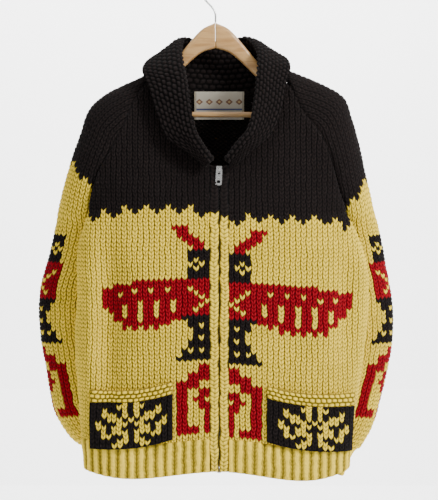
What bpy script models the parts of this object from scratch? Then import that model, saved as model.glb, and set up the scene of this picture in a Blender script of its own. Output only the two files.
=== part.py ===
"""A bulky cowichan cardigan hanging on a plain wooden hanger.

Metres, +Z up.  The wearer's front faces -Y.  The origin is where a rod
carries the hanger: the underside of the top of its wire hook.
Every knitted piece is an open wall made from rows of points.  Two pieces
that are sewn together take their edges from the same row of points, moved
half of SEAM_GAP to either side.
"""
import bpy
import bmesh
import numpy as np
from math import radians
from mathutils import Matrix, Vector

MM = 0.001

# ---------------------------------------------------------------- driving sizes
KNIT = 5.5 * MM            # thickness of the chunky wool knit
SEAM_GAP = 0.35 * MM       # daylight between two pieces at a seam
UNDERARM_GAP = 11.0        # how many times wider the seam opens at the underarm
ZIP_X = 6 * MM             # the zip hangs a little to the right of the hook
BAND_WIDTH = 14 * MM       # each plain vertical band beside the zip
BAND_OUT = 14.5            # where a front starts, in millimetres out from the zip
CUFF_LENGTH = 50 * MM      # ribbed cuff at the wrist
CUFF_RINGS = ((0.0, 0.97), (0.12, 0.86), (0.35, 0.80), (1.0, 0.80))  # share of length, of girth
ZIP_TOP = -0.296           # height of the top of the closed zip
HEM = -0.779               # height of the hem at the zip
FRONT_STEPS = 12           # columns of points across one front
SLEEVE_STEPS = 16          # columns of points round one sleeve
FLAT_POWER = 2.6           # how flat the front lies before it turns at the side
YOKE_POWER = 2.2           # the gentler bend of a row in the yoke
NECK_EASE = 6 * MM         # how far the front neck edge falls back towards its top
NECK_EASE_OVER = 150 * MM  # the height over which it does
PANEL_IN = (0.6, 0, 1)     # a panel faces the line that its points scale to by this

# Each sleeve from the neck to the wrist, in millimetres: the outer line that
# shows as its outline (crest), the seam line on its other side, how far back
# its middle lies, half its depth, and how far round the seam is from the crest.
SLEEVE_COLUMNS = ("crest_x", "crest_z", "seam_x", "seam_z", "middle_y", "half_depth", "seam_angle")
LEFT_SLEEVE = (
    (-94, -142, -105, -156, 0, 20, 62),
    (-128, -158, -122, -178, 0, 30, 68),
    (-169, -178, -137, -208, 1, 38, 74),
    (-190, -193, -147, -233, 2, 43, 78),
    (-205, -212, -158, -254, 4, 46, 81),
    (-216, -244, -171, -276, 6, 48, 84),
    (-230, -284, -189, -308, 9, 47, 88),
    (-243, -330, -200, -350, 14, 43, 94),
    (-250, -358, -200, -378, 18, 40, 105),
    (-253, -372, -190, -393, 21, 36, 130),
    (-256, -388, -163, -402, 24, 34, 180),
    (-262, -415, -162, -428, 30, 34, 180),
    (-270, -446, -156, -458, 38, 36, 180),
    (-281, -482, -154, -490, 45, 38, 180),
    (-285, -519, -156, -524, 49, 39, 180),
    (-284, -551, -158, -555, 51, 39, 180),
    (-281, -583, -160, -586, 52, 38, 180),
    (-275, -615, -160, -618, 52, 38, 180),
    (-268, -655, -156, -652, 52, 37, 180),
    (-262, -685, -150, -676, 52, 36, 180),
    (-250, -710, -145, -694, 52, 34, 180),
    (-234, -733, -141, -707, 52, 31, 180),
    (-219, -746, -141, -713, 52, 27, 180),
)
RIGHT_SLEEVE = (
    (104, -141, 112, -161, 0, 20, 62),
    (120, -145, 121, -171, 0, 30, 68),
    (153, -158, 133, -198, 1, 38, 74),
    (180, -170, 147, -219, 2, 43, 78),
    (206, -188, 163, -238, 4, 46, 81),
    (218, -221, 176, -262, 6, 48, 84),
    (230, -262, 189, -298, 9, 47, 88),
    (240, -308, 200, -340, 14, 44, 93),
    (249, -345, 208, -370, 18, 41, 103),
    (254, -368, 203, -392, 21, 36, 130),
    (260, -388, 177, -401, 24, 34, 180),
    (266, -412, 177, -428, 31, 34, 180),
    (273, -446, 172, -462, 39, 36, 180),
    (280, -480, 164, -494, 45, 38, 180),
    (285, -512, 160, -524, 49, 39, 180),
    (287, -545, 161, -553, 51, 39, 180),
    (286, -575, 162, -582, 52, 38, 180),
    (281, -606, 163, -612, 52, 38, 180),
    (273, -645, 162, -645, 52, 37, 180),
    (264, -680, 158, -674, 52, 36, 180),
    (256, -708, 153, -696, 52, 34, 180),
    (244, -734, 148, -712, 52, 31, 180),
    (232, -752, 148, -722, 52, 27, 180),
)
SLEEVES = {"left": LEFT_SLEEVE, "right": RIGHT_SLEEVE}
UNDERARM_ROW = 10          # the table row where the sleeve becomes a closed tube

# The body below the arms, in millimetres: how far out each side reaches,
# how far forward that side lies, and how far the side seam sits inside it.
BODY_COLUMNS = ("height", "left_x", "right_x", "side_y", "seam_inset", "seam_y")
BODY = (
    (-420, -217, 231, -26, 58, 14),
    (-442, -220, 238, -27, 45, 2),
    (-474, -219, 243, -27, 26, -9),
    (-512, -219, 243, -26, 11, -16),
    (-555, -222, 240, -25, 5, -19),
    (-601, -222, 235, -24, 3, -19),
    (-650, -218, 227, -23, 3, -18),
    (-690, -215, 221, -22, 3, -17),
    (-727, -213, 216, -21, 3, -16),
    (-779, -208, 211, -19, 3, -14),
)
# The same side of the body above the underarm, where it tucks behind the seam.
ARMPIT = ((-300, -160, 160, -38), (-345, -192, 194, -31), (-372, -202, 207, -28), (-396, -211, 221, -26))
# Middle of the front and of the back at each height, in millimetres.
DEPTH_COLUMNS = ("height", "front_y", "back_y")
DEPTH = (
    (-140, -18, 20),
    (-180, -31, 30),
    (-210, -40, 36),
    (-250, -50, 41),
    (-300, -60, 44),
    (-385, -76, 46),
    (-470, -84, 46),
    (-601, -86, 44),
    (-727, -78, 40),
    (-779, -74, 38),
)
# How far the rows of knitting hang below the level of the zip, in millimetres.
SAG_COLUMNS = ("height", "left_sag", "right_sag")
SAG = (
    (-140, 0, 0),
    (-300, 0, 3),
    (-415, 3, 7),
    (-601, 7, 11),
    (-779, 12, 15),
)
# The V of the front neck, in millimetres out from the zip, and the back neck.
NECK_COLUMNS = ("height", "left_out", "right_out")
NECK = (
    (-135, 100, 87),
    (-156, 96, 84),
    (-178, 78, 72),
    (-205, 63, 61),
    (-236, 50, 50),
    (-266, 36, 36),
    (-296, 14.5, 14.5),
)
BACK_NECK_DIP = 24 * MM    # how far the back neck hangs below its two ends
BACK_NECK_LOW = -0.21      # the level where the back's rows run straight again
BACK_NECK_OVER = 70 * MM
SIDE_SEAM_IN = (0.76, 0.65)  # the cloth's direction at a side seam, inward and forward

# Soft hanging folds: where they lie, where they start and end, how wide and
# how deep they are, in millimetres (a negative depth is a ridge).
FOLD_COLUMNS = ("panel", "out", "top", "bottom", "width", "depth")
FOLDS = (
    ("left", 184, -385, -720, 16, 7),
    ("left", 205, -400, -700, 14, -4),
    ("left", 120, -560, -790, 30, 3),
    ("right", 196, -390, -640, 18, 6),
    ("right", 96, -430, -700, 34, 3),
    ("back", -110, -300, -780, 40, 8),
    ("back", 60, -260, -740, 46, 7),
    ("back", 150, -380, -780, 30, 6),
)

# The collar from the bottom of the left side round the back of the neck to
# the bottom of the right side, in millimetres: its fold and its free edge.
COLLAR_COLUMNS = ("fold_x", "fold_y", "fold_z", "edge_x", "edge_y", "edge_z")
COLLAR = (
    (-3, -75, -288, -16, -79, -301),
    (-22, -82, -262, -42, -79, -278),
    (-33, -82, -240, -76, -70, -254),
    (-40, -74, -209, -92, -62, -216),
    (-46, -60, -170, -106, -50, -172),
    (-54, -38, -133, -117, -33, -144),
    (-56, -8, -106, -110, 4, -126),
    (-50, 20, -93, -88, 34, -124),
    (-30, 33, -95, -50, 49, -148),
    (0, 39, -98, 0, 54, -158),
    (28, 33, -95, 50, 49, -148),
    (50, 20, -93, 90, 34, -122),
    (66, -8, -108, 112, 4, -121),
    (70, -38, -130, 120, -33, -138),
    (66, -60, -168, 112, -50, -168),
    (60, -74, -206, 104, -62, -212),
    (53, -82, -238, 86, -70, -250),
    (34, -82, -262, 56, -79, -276),
    (15, -75, -288, 28, -79, -303),
)
COLLAR_KNIT = 7 * MM       # garter stitch is thicker than the plain knit
COLLAR_CLEAR = 7.4 * MM    # between the collar's first row and the neck edge
COLLAR_ROLL = 9 * MM       # radius of the soft fold along the collar

# The patch pockets, in millimetres: how far out from the zip each one starts
# and ends, and its top and bottom heights at both of those ends.
POCKET_COLUMNS = ("side", "inner", "outer", "top_inner", "top_outer", "bottom_inner", "bottom_outer")
POCKETS = (
    ("left", 73, 206, -636, -650, -727, -743),
    ("right", 75, 218, -643, -655, -731, -747),
)
POCKET_BAND = 19 * MM      # height of the garter band along a pocket's mouth
POCKET_KNIT = 5 * MM
POCKET_AIR = 2.6 * MM      # room behind a pocket, so that it opens
POCKET_ACROSS = 9          # columns of points across a pocket
POCKET_BOW = 7 * MM        # how far its rows hang below their ends

# The hanger, in millimetres: the middle line of each arm and its section.
HANGER_COLUMNS = ("out", "height", "tall", "deep")
HANGER_ARM = (
    (0, -87, 41, 14),
    (22, -96, 37, 15),
    (44, -117, 31, 14),
    (70, -145, 26, 14),
    (100, -169, 23, 17),
    (135, -185, 21, 24),
    (162, -199, 19, 26),
    (180, -211, 12, 26),
)
HANGER_MIDDLE_Y = -3 * MM
WOOD_JOINT = 0.3 * MM
BAR_RADIUS = 4.5 * MM
BAR_HEIGHT = -0.2137
BAR_REACH = 160 * MM
HOOK_WIRE = 1.5 * MM
HOOK_RADIUS = 20 * MM
# The hook's stem from inside the wood up to its ring, out and height, in millimetres.
HOOK_STEM = ((0, -66), (0, -56), (-1.2, -49), (-5, -42.5), (-10.5, -36.5))
HOOK_TURN = (215, -15)     # where the ring starts and ends, in degrees
ARM_SIDES = 12             # points round an arm
ARM_SQUARE = 0.6           # below 1, an arm's section is squarer than an ellipse

LABEL_WIDTH = 80 * MM
LABEL_HEIGHT = 44 * MM
LABEL_TOP = -0.176
LABEL_THICK = 1 * MM
LABEL_AIR = 1.2 * MM

TAPE_INNER = 3.3 * MM      # each woven tape, out from the middle of the zip
TAPE_OUTER = 15 * MM
TAPE_THICK = 1.2 * MM
CHAIN_HALF = 3 * MM        # the closed chain stands between the tapes
CHAIN_THICK = 2 * MM
CHAIN_BACK = 0.7 * MM      # how far it lies behind the tapes' faces
CHAIN_START = 14 * MM      # below the zip's top, behind the slider
ZIP_END = HEM + 6 * MM

SLIDER_HEIGHT = -0.303     # middle of the zip slider
SLIDER_HALF_WIDTH = 4.6 * MM
SLIDER_HALF_HEIGHT = 5.5 * MM
SLIDER_DEEP = 2.2 * MM
SLIDER_PROUD = 1.2 * MM    # its back stands this far in front of the bands
ARCH_WIRE = 0.8 * MM       # radius of the arch that carries the tab
ARCH_RISE = 3.6 * MM
ARCH_HALF = 3.8 * MM
ARCH_GAP = 0.3 * MM        # between the slider's face and the arch
ARCH_STEPS = 12
TAB_LENGTH = 26 * MM
TAB_WIDTH = 10 * MM
TAB_THICK = 1.4 * MM
TAB_CORNER = 2.2 * MM
TAB_LEAN = radians(3)      # the tab hangs a little off the vertical
TAB_ABOVE = 1.0 * MM       # how far the tab reaches above its pivot
TAB_OUT = 1.5 * MM         # the pivot lies this far in front of the arch's feet
TAB_DROP = 0.2 * MM
SLOT = (3.4 * MM, -7.5 * MM, -0.7 * MM, 0.8 * MM)   # width, bottom, top, corner
WINDOW = (5.2 * MM, 4.5 * MM - TAB_LENGTH, 9.0 * MM - TAB_LENGTH, 1.2 * MM)
BOX_HALF_WIDTH = 3.2 * MM  # the metal box that ends the chain
BOX_BOTTOM = HEM - 2 * MM
BOX_TOP = HEM + 5.6 * MM
BOX_BACK = KNIT + 3.6 * MM


# ---------------------------------------------------------------- scene and materials
for old in list(bpy.data.objects):
    bpy.data.objects.remove(old, do_unlink=True)
parts = bpy.data.collections.new("cowichan_cardigan")
bpy.context.scene.collection.children.link(parts)


def material(name, colour, roughness, metallic=0.0):
    """A plain Principled finish in one colour."""
    finish = bpy.data.materials.new(name)
    finish.use_nodes = True
    shader = finish.node_tree.nodes["Principled BSDF"]
    shader.inputs["Base Color"].default_value = (*colour, 1.0)
    shader.inputs["Roughness"].default_value = roughness
    shader.inputs["Metallic"].default_value = metallic
    return finish


CREAM = material("cream_wool", (0.62, 0.50, 0.24), 0.95)
CHARCOAL = material("charcoal_wool", (0.03, 0.026, 0.025), 0.95)
WOOD = material("varnished_wood", (0.60, 0.33, 0.12), 0.4)
STEEL = material("bright_steel", (0.72, 0.72, 0.70), 0.25, 1.0)
TAPE = material("zip_tape", (0.45, 0.38, 0.22), 0.8)
LABEL = material("woven_label", (0.72, 0.66, 0.52), 0.7)


def add_mesh(name, points, faces, finish):
    """Put a closed mesh in the scene with every face turned outward."""
    mesh = bpy.data.meshes.new(name)
    mesh.from_pydata([tuple(p) for p in points], [], faces)
    shell = bmesh.new()
    shell.from_mesh(mesh)
    bmesh.ops.recalc_face_normals(shell, faces=shell.faces)
    bmesh.ops.triangulate(shell, faces=shell.faces)
    shell.to_mesh(mesh)
    shell.free()
    obj = bpy.data.objects.new(name, mesh)
    mesh.materials.append(finish)
    parts.objects.link(obj)
    return obj


# ---------------------------------------------------------------- curves and walls
def column(table, columns, name):
    """One named column of a table, in metres."""
    return np.array([row[columns.index(name)] for row in table], float) * MM


def unit(vectors):
    """The same directions with a length of one."""
    return vectors / np.maximum(np.linalg.norm(vectors, axis=-1, keepdims=True), 1e-12)


def smooth(rows, steps):
    """A Catmull-Rom curve through every row, with steps stretches between two rows."""
    rows = np.asarray(rows, float)
    padded = np.vstack([2 * rows[:1] - rows[1:2], rows, 2 * rows[-1:] - rows[-2:-1]])
    out = []
    for i in range(len(rows) - 1):
        a, b, c, d = padded[i:i + 4]
        for t in np.arange(steps) / steps:
            out.append(0.5 * (2 * b + (c - a) * t + (2 * a - 5 * b + 4 * c - d) * t ** 2
                              + (3 * b - a - 3 * c + d) * t ** 3))
    return np.array(out + [rows[-1]])


def evenly(curve, count):
    """count points at equal steps of length along a dense curve."""
    reach = np.concatenate([[0], np.cumsum(np.linalg.norm(np.diff(curve, axis=0), axis=1))])
    where = np.linspace(0, reach[-1], count)
    return np.stack([np.interp(where, reach, curve[:, i]) for i in range(3)], axis=1)


def seam_side(line, inward):
    """The direction straight across a seam: along the line crossed with inward."""
    return unit(np.cross(np.gradient(line, axis=0), inward))


def wall(name, outer, inward, finish, thick=KNIT, tube=False):
    """A closed wall: the outer grid, the same grid moved inward, and the rims."""
    rows, cols = outer.shape[:2]
    inner = outer + inward * thick
    points = np.concatenate([outer.reshape(-1, 3), inner.reshape(-1, 3)])
    back = rows * cols
    across = cols if tube else cols - 1
    faces = []
    for r in range(rows - 1):
        for c in range(across):
            d = (c + 1) % cols
            corners = [r * cols + c, r * cols + d, (r + 1) * cols + d, (r + 1) * cols + c]
            if c >= cols // 2:
                corners = corners[1:] + corners[:1]
            for half in ((0, 1, 2), (0, 2, 3)):
                triangle = tuple(corners[i] for i in half)
                faces.append(triangle)
                faces.append(tuple(back + i for i in reversed(triangle)))
    rims = [(c, (c + 1) % cols) for c in range(across)]
    rims += [((rows - 1) * cols + a, (rows - 1) * cols + b) for a, b in rims]
    if not tube:
        for edge in (0, cols - 1):
            rims += [(r * cols + edge, (r + 1) * cols + edge) for r in range(rows - 1)]
    for a, b in rims:
        # Both pieces at a seam split its rim the same way, so they can't cross.
        faces.append((a, b, back + b))
        faces.append((a, back + b, back + a))
    return add_mesh(name, points, faces, finish)


def inward_of(grid, towards, tube=False):
    """The unit normal of a grid of points, turned to the side where towards lies."""
    along = np.gradient(grid, axis=0)
    if tube:
        across = np.roll(grid, -1, axis=1) - np.roll(grid, 1, axis=1)
    else:
        across = np.gradient(grid, axis=1)
    normal = unit(np.cross(along, across))
    flip = np.sign(np.sum(normal * (towards - grid), axis=-1, keepdims=True))
    return normal * np.where(flip == 0, 1, flip)


# ---------------------------------------------------------------- sleeves
def sleeve_frames(side):
    """Middle, reach to the crest, half depth and seam angle of every sleeve row."""
    at = {name: column(SLEEVES[side], SLEEVE_COLUMNS, name) for name in SLEEVE_COLUMNS}
    crest = np.stack([at["crest_x"], at["middle_y"], at["crest_z"]], axis=1)
    seam = np.stack([at["seam_x"], at["middle_y"], at["seam_z"]], axis=1)
    angle = np.radians(at["seam_angle"] / MM)
    reach = (crest - seam) / (1 - np.cos(angle))[:, None]
    return crest - reach, reach, at["half_depth"], angle


def sleeve_grid(side):
    """Rows round the sleeve, from its front seam over the crest to its back seam."""
    middle, reach, depth, angle = sleeve_frames(side)
    turn = np.linspace(-1, 1, SLEEVE_STEPS + 1)[None, :] * angle[:, None]
    forward = np.array([0, 1, 0])
    return (middle[:, None] + reach[:, None] * np.cos(turn)[..., None]
            + forward * (depth[:, None] * np.sin(turn))[..., None])


def seam_directions(side, front):
    """Into the cloth along a raglan seam: a little down at the neck, up at the arm."""
    angle = sleeve_frames(side)[3][:UNDERARM_ROW + 1]
    lean = np.radians(np.interp(np.degrees(angle), (62, 84, 180), (-22, 0, 90)))
    sign = 1 if front else -1
    return np.stack([0 * lean, sign * np.cos(lean), np.sin(lean)], axis=1)


def seam_shift(side, line, front):
    """How far the sleeve's own edge moves off the seam line; the body's moves back."""
    hand = 1 if side == "right" else -1
    across = seam_side(line, seam_directions(side, front))
    across *= hand * np.sign(across[0, 0])
    near = np.clip(np.arange(len(line)) - (UNDERARM_ROW - 3), 0, 1)
    return across * (SEAM_GAP / 2 * (1 + near * (UNDERARM_GAP - 1)))[:, None]


sleeve_points = {side: sleeve_grid(side) for side in SLEEVES}
yoke_rows = UNDERARM_ROW + 1
raglan = {(side, "front"): sleeve_points[side][:yoke_rows, 0] for side in SLEEVES}
raglan.update({(side, "back"): sleeve_points[side][:yoke_rows, -1] for side in SLEEVES})


def build_sleeve(side):
    """One raglan sleeve: open above the underarm, a closed tube below it."""
    grid = sleeve_points[side].copy()
    middle = sleeve_frames(side)[0]
    into = inward_of(grid, middle[:, None] + 0 * grid)
    for edge, front in ((0, True), (-1, False)):
        line = grid[:yoke_rows, edge]
        into[:yoke_rows, edge] = seam_directions(side, front)
        grid[:yoke_rows, edge] = line + seam_shift(side, line, front)
    below = slice(yoke_rows, None)
    grid[below, 0] = (grid[below, 0] + grid[below, -1]) / 2
    into[below, 0] = unit(middle[below] - grid[below, 0])
    grid[below, -1] = grid[below, 0]
    into[below, -1] = into[below, 0]
    grid[UNDERARM_ROW:, 0, 1] -= SEAM_GAP / 2
    grid[UNDERARM_ROW:, -1, 1] += SEAM_GAP / 2
    return wall("sleeve_" + side, grid, into, CREAM)


def build_cuff(side):
    """A short gathered ribbed tube that carries on from the end of the sleeve."""
    grid = sleeve_points[side]
    middle, reach, depth, _ = sleeve_frames(side)
    axis = unit(np.cross(reach[-1], (0, 1, 0)))
    axis *= -np.sign(axis[2])
    turn = np.linspace(0, 2 * np.pi, SLEEVE_STEPS, endpoint=False)
    rings = []
    for along, pull in CUFF_RINGS:
        start = middle[-1] + axis * (SEAM_GAP + CUFF_LENGTH * along)
        rings.append(start + pull * (reach[-1] * np.cos(turn)[:, None]
                                     + np.array([0, depth[-1], 0]) * np.sin(turn)[:, None]))
    rings = np.array(rings)
    centre = rings.mean(axis=1, keepdims=True)
    into = unit(centre - rings)
    return wall("cuff_" + side, rings, into, CREAM, tube=True)


# ---------------------------------------------------------------- body panels
def table_at(table, columns, name, height):
    """A column of a table of heights, read at any height."""
    level = column(table, columns, "height")
    return np.interp(-height, -level, column(table, columns, name))


def fold_depth(panel, out, height):
    """How far the hanging folds move a point of a panel towards the inside."""
    total = np.zeros_like(out)
    for row in FOLDS:
        fold = dict(zip(FOLD_COLUMNS, row))
        if fold["panel"] != panel:
            continue
        span = np.clip((fold["top"] * MM - height) / ((fold["top"] - fold["bottom"]) * MM), 0, 1)
        swell = np.sin(np.pi * span) ** 0.8
        total += fold["depth"] * MM * swell * np.exp(-((out - fold["out"] * MM) / (fold["width"] * MM)) ** 2)
    return total


def side_points(side):
    """The side seam from the underarm down to the top of the rib, and the rib's end."""
    x = column(BODY, BODY_COLUMNS, side + "_x")
    inset = column(BODY, BODY_COLUMNS, "seam_inset")
    hand = np.sign(x[0])
    return np.stack([x - hand * inset, column(BODY, BODY_COLUMNS, "seam_y"),
                     column(BODY, BODY_COLUMNS, "height")], axis=1)


def edge_line(side, face):
    """A panel's whole outer edge: the raglan seam, then the side seam."""
    return np.concatenate([raglan[side, face], side_points(side)])


def front_start(side, height):
    """Where a front's row starts, at the band or at the V of the neck."""
    hand = 1 if side == "right" else -1
    out = table_at(NECK, NECK_COLUMNS, side + "_out", height)
    start_y = table_at(DEPTH, DEPTH_COLUMNS, "front_y", height)
    ease = NECK_EASE * np.clip((height - ZIP_TOP) / NECK_EASE_OVER, 0, 1)
    return np.array([ZIP_X + hand * out, start_y + ease, height])


def row_curve(start, end, side_x, side_y, roundness, sag, panel, count):
    """One row of knitting from the middle of the body out to its edge.

    The row lies flat, then bends back: gently in the yoke and round the side
    below it.  A seam that lies behind the widest point is reached by a tuck.
    """
    turn = np.linspace(0, np.pi / 2, 60)
    share = np.sin(turn)
    gentle = share ** YOKE_POWER
    full = 1 - (1 - share ** FLAT_POWER) ** (1 / FLAT_POWER)
    x = start[0] + (side_x - start[0]) * share
    y = start[1] + (side_y - start[1]) * (gentle * (1 - roundness) + full * roundness)
    if abs(side_x) - abs(end[0]) > 0.5 * MM:
        tuck = np.linspace(0, np.pi / 2, 16)[1:]
        x = np.concatenate([x, side_x + (end[0] - side_x) * np.sin(tuck)])
        y = np.concatenate([y, side_y + (end[1] - side_y) * (1 - np.cos(tuck))])
    out = np.abs(x - ZIP_X)
    across = np.maximum.accumulate(out) / out.max()
    height = start[2] + (end[2] - start[2]) * across ** 3
    height = height - sag * np.sin(np.pi * across ** 1.6)
    fade = np.clip(np.sin(np.pi * np.linspace(0, 1, len(x))), 0, 1) ** 0.5
    if panel == "back":
        y = y - fold_depth(panel, x - ZIP_X, height) * fade
    else:
        y = y + fold_depth(panel, out, height) * fade
    return evenly(np.stack([x, y, height], axis=1), count)


def body_side(side, end):
    """The widest point of the body on the level of a seam point."""
    height = end[2]
    if height < BODY[0][0] * MM:
        return (table_at(BODY, BODY_COLUMNS, side + "_x", height),
                table_at(BODY, BODY_COLUMNS, "side_y", height))
    if height > ARMPIT[0][0] * MM:
        return end[0], end[1]
    levels = np.array(ARMPIT + (BODY[0][:4],), float) * MM
    wide = np.interp(-height, -levels[:, 0], levels[:, 1 if side == "left" else 2])
    forward = np.interp(-height, -levels[:, 0], levels[:, 3])
    if abs(wide) <= abs(end[0]):
        return end[0], end[1]
    return wide, min(forward, end[1])


def front_grid(side):
    """All rows of one front, from its top at the neck down to the hem."""
    rows = []
    for end in edge_line(side, "front"):
        height = end[2]
        side_x, side_y = body_side(side, end)
        roundness = np.clip((-0.26 - height) / 0.16, 0, 1)
        sag = table_at(SAG, SAG_COLUMNS, side + "_sag", height)
        rows.append(row_curve(front_start(side, height), end, side_x, side_y, roundness, sag,
                              side, FRONT_STEPS + 1))
    return np.array(rows)


def back_grid():
    """All rows of the back, from one outer edge to the other."""
    halves = []
    left_edge, right_edge = edge_line("left", "back"), edge_line("right", "back")
    for side, edge in (("left", left_edge), ("right", right_edge)):
        rows = []
        for i, end in enumerate(edge):
            height = (left_edge[i][2] + right_edge[i][2]) / 2
            dip = BACK_NECK_DIP * np.clip((height - BACK_NECK_LOW) / BACK_NECK_OVER, 0, 1)
            start = np.array([ZIP_X, table_at(DEPTH, DEPTH_COLUMNS, "back_y", height), height - dip])
            sag = table_at(SAG, SAG_COLUMNS, side + "_sag", height) / 2
            rows.append(row_curve(start, end, end[0], end[1], 0, sag, "back", FRONT_STEPS + 1))
        halves.append(np.array(rows))
    left, right = halves
    return np.concatenate([left[:, ::-1], right[:, 1:]], axis=1)


def finish_edges(grid, into, column_index, side, face):
    """Give a body panel the seam's shared direction and half of its gap."""
    hand = 1 if side == "right" else -1
    line = grid[:, column_index].copy()
    direction = np.zeros_like(line)
    direction[:yoke_rows] = seam_directions(side, face == "front")
    inward, forward = SIDE_SEAM_IN
    direction[yoke_rows:] = (-hand * inward, -forward, 0)
    shift = np.zeros_like(line)
    shift[:yoke_rows] = -seam_shift(side, line[:yoke_rows], face == "front")
    own_side = 1 if face == "front" else -1
    shift[yoke_rows:] = np.array([hand * forward, -inward, 0]) * own_side * SEAM_GAP / 2
    grid[:, column_index] = line + shift
    into[:, column_index] = direction


def split_rib(grid, into):
    """Cut the last row of a panel off as its rib, a seam gap below it."""
    panel, panel_in = grid[:-1].copy(), into[:-1].copy()
    rib = np.stack([grid[-2] - (0, 0, SEAM_GAP), grid[-2] * 0.6 + grid[-1] * 0.4, grid[-1]])
    rib_in = np.stack([into[-2], into[-2], into[-1]])
    return panel, panel_in, rib, rib_in


def build_front(side):
    """One front with its raglan edge, its side seam and its hem rib."""
    grid = front_grid(side)
    into = inward_of(grid, grid * PANEL_IN + (0, 0.01, 0))
    into[:, 0] = (0, 1, 0)
    finish_edges(grid, into, -1, side, "front")
    panel, panel_in, rib, rib_in = split_rib(grid, into)
    wall("front_" + side, panel, panel_in, CREAM)
    wall("hem_rib_front_" + side, rib, rib_in, CREAM)


def build_back():
    """The back with both raglan edges and its hem rib."""
    grid = back_grid()
    into = inward_of(grid, grid * PANEL_IN + (0, -0.01, 0))
    finish_edges(grid, into, 0, "left", "back")
    finish_edges(grid, into, -1, "right", "back")
    panel, panel_in, rib, rib_in = split_rib(grid, into)
    wall("back", panel, panel_in, CREAM)
    wall("hem_rib_back", rib, rib_in, CREAM)


# ---------------------------------------------------------------- bands and zip
def strip(name, x_low, x_high, y_shift, thick, finish, top=ZIP_TOP, bottom=HEM):
    """A long flat strip that follows the front edge from top to bottom."""
    height = np.linspace(top, bottom, 16)
    depth = table_at(DEPTH, DEPTH_COLUMNS, "front_y", height) + y_shift
    outer = np.stack([np.stack([np.full_like(height, x), depth, height], axis=1)
                      for x in (x_low, (x_low + x_high) / 2, x_high)], axis=1)
    into = np.zeros_like(outer)
    into[..., 1] = 1
    return wall(name, outer, into, finish, thick=thick)


def build_bands():
    """The two plain bands that meet over the zip."""
    inner, outer = 0.5 * MM, BAND_WIDTH + 0.5 * MM - SEAM_GAP
    strip("band_left", ZIP_X - outer, ZIP_X - inner, 0, KNIT, CREAM)
    strip("band_right", ZIP_X + inner, ZIP_X + outer, 0, KNIT, CREAM)


def build_zip():
    """Two woven tapes with the narrow chain between them, behind the bands."""
    behind = KNIT + SEAM_GAP
    strip("zip_tape_left", ZIP_X - TAPE_OUTER, ZIP_X - TAPE_INNER, behind, TAPE_THICK, TAPE, bottom=ZIP_END)
    strip("zip_tape_right", ZIP_X + TAPE_INNER, ZIP_X + TAPE_OUTER, behind, TAPE_THICK, TAPE, bottom=ZIP_END)
    strip("zip_chain", ZIP_X - CHAIN_HALF, ZIP_X + CHAIN_HALF, behind + CHAIN_BACK, CHAIN_THICK, STEEL,
          ZIP_TOP - CHAIN_START, ZIP_END)


def box(name, low, high, finish, bevel=0.0):
    """A block between two corners, with its edges eased by bevel."""
    low, high = Vector(low), Vector(high)
    mesh = bpy.data.meshes.new(name)
    block = bmesh.new()
    bmesh.ops.create_cube(block, size=1.0)
    size = high - low
    bmesh.ops.scale(block, vec=size, verts=block.verts)
    bmesh.ops.translate(block, vec=(low + high) / 2, verts=block.verts)
    block.to_mesh(mesh)
    block.free()
    mesh.materials.append(finish)
    obj = bpy.data.objects.new(name, mesh)
    parts.objects.link(obj)
    if bevel:
        ease = obj.modifiers.new("eased_edges", "BEVEL")
        ease.width = bevel
        ease.segments = 2
    return obj


def outline_plate(name, outlines, thick, finish):
    """A flat plate with holes, lying in its own X and Y, as thick as thick."""
    curve = bpy.data.curves.new(name, "CURVE")
    curve.dimensions = "2D"
    curve.fill_mode = "BOTH"
    curve.extrude = thick / 2
    for outline in outlines:
        spline = curve.splines.new("POLY")
        spline.points.add(len(outline) - 1)
        for point, (x, z) in zip(spline.points, outline):
            point.co = (x, z, 0, 1)
        spline.use_cyclic_u = True
    obj = bpy.data.objects.new(name, curve)
    curve.materials.append(finish)
    parts.objects.link(obj)
    return obj


def rounded(width, low, high, radius, steps=4):
    """A rectangle with round corners, centred across, between two levels."""
    corners = ((width / 2 - radius, high - radius, 0), (-width / 2 + radius, high - radius, 90),
               (-width / 2 + radius, low + radius, 180), (width / 2 - radius, low + radius, 270))
    points = []
    for x, z, start in corners:
        for step in range(steps + 1):
            angle = radians(start + 90 * step / steps)
            points.append((x + radius * np.cos(angle), z + radius * np.sin(angle)))
    return points


def build_slider():
    """The zip's slider: a body in front of the bands and an arch for the tab."""
    face_y = float(table_at(DEPTH, DEPTH_COLUMNS, "front_y", SLIDER_HEIGHT)) - SLIDER_PROUD
    front_y = face_y - SLIDER_DEEP
    box("slider", (ZIP_X - SLIDER_HALF_WIDTH, front_y, SLIDER_HEIGHT - SLIDER_HALF_HEIGHT),
        (ZIP_X + SLIDER_HALF_WIDTH, face_y, SLIDER_HEIGHT + SLIDER_HALF_HEIGHT), STEEL, bevel=0.8 * MM)
    arch = bpy.data.curves.new("slider_arch", "CURVE")
    arch.dimensions = "3D"
    arch.bevel_depth = ARCH_WIRE
    arch.bevel_resolution = 2
    arch.use_fill_caps = True
    spline = arch.splines.new("POLY")
    spline.points.add(ARCH_STEPS)
    feet_y = front_y - ARCH_GAP - ARCH_WIRE
    for i, point in enumerate(spline.points):
        turn = np.pi * i / ARCH_STEPS
        point.co = (ZIP_X, feet_y - ARCH_RISE * np.sin(turn), SLIDER_HEIGHT + ARCH_HALF * np.cos(turn), 1)
    obj = bpy.data.objects.new("slider_arch", arch)
    arch.materials.append(STEEL)
    parts.objects.link(obj)
    return feet_y


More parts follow.
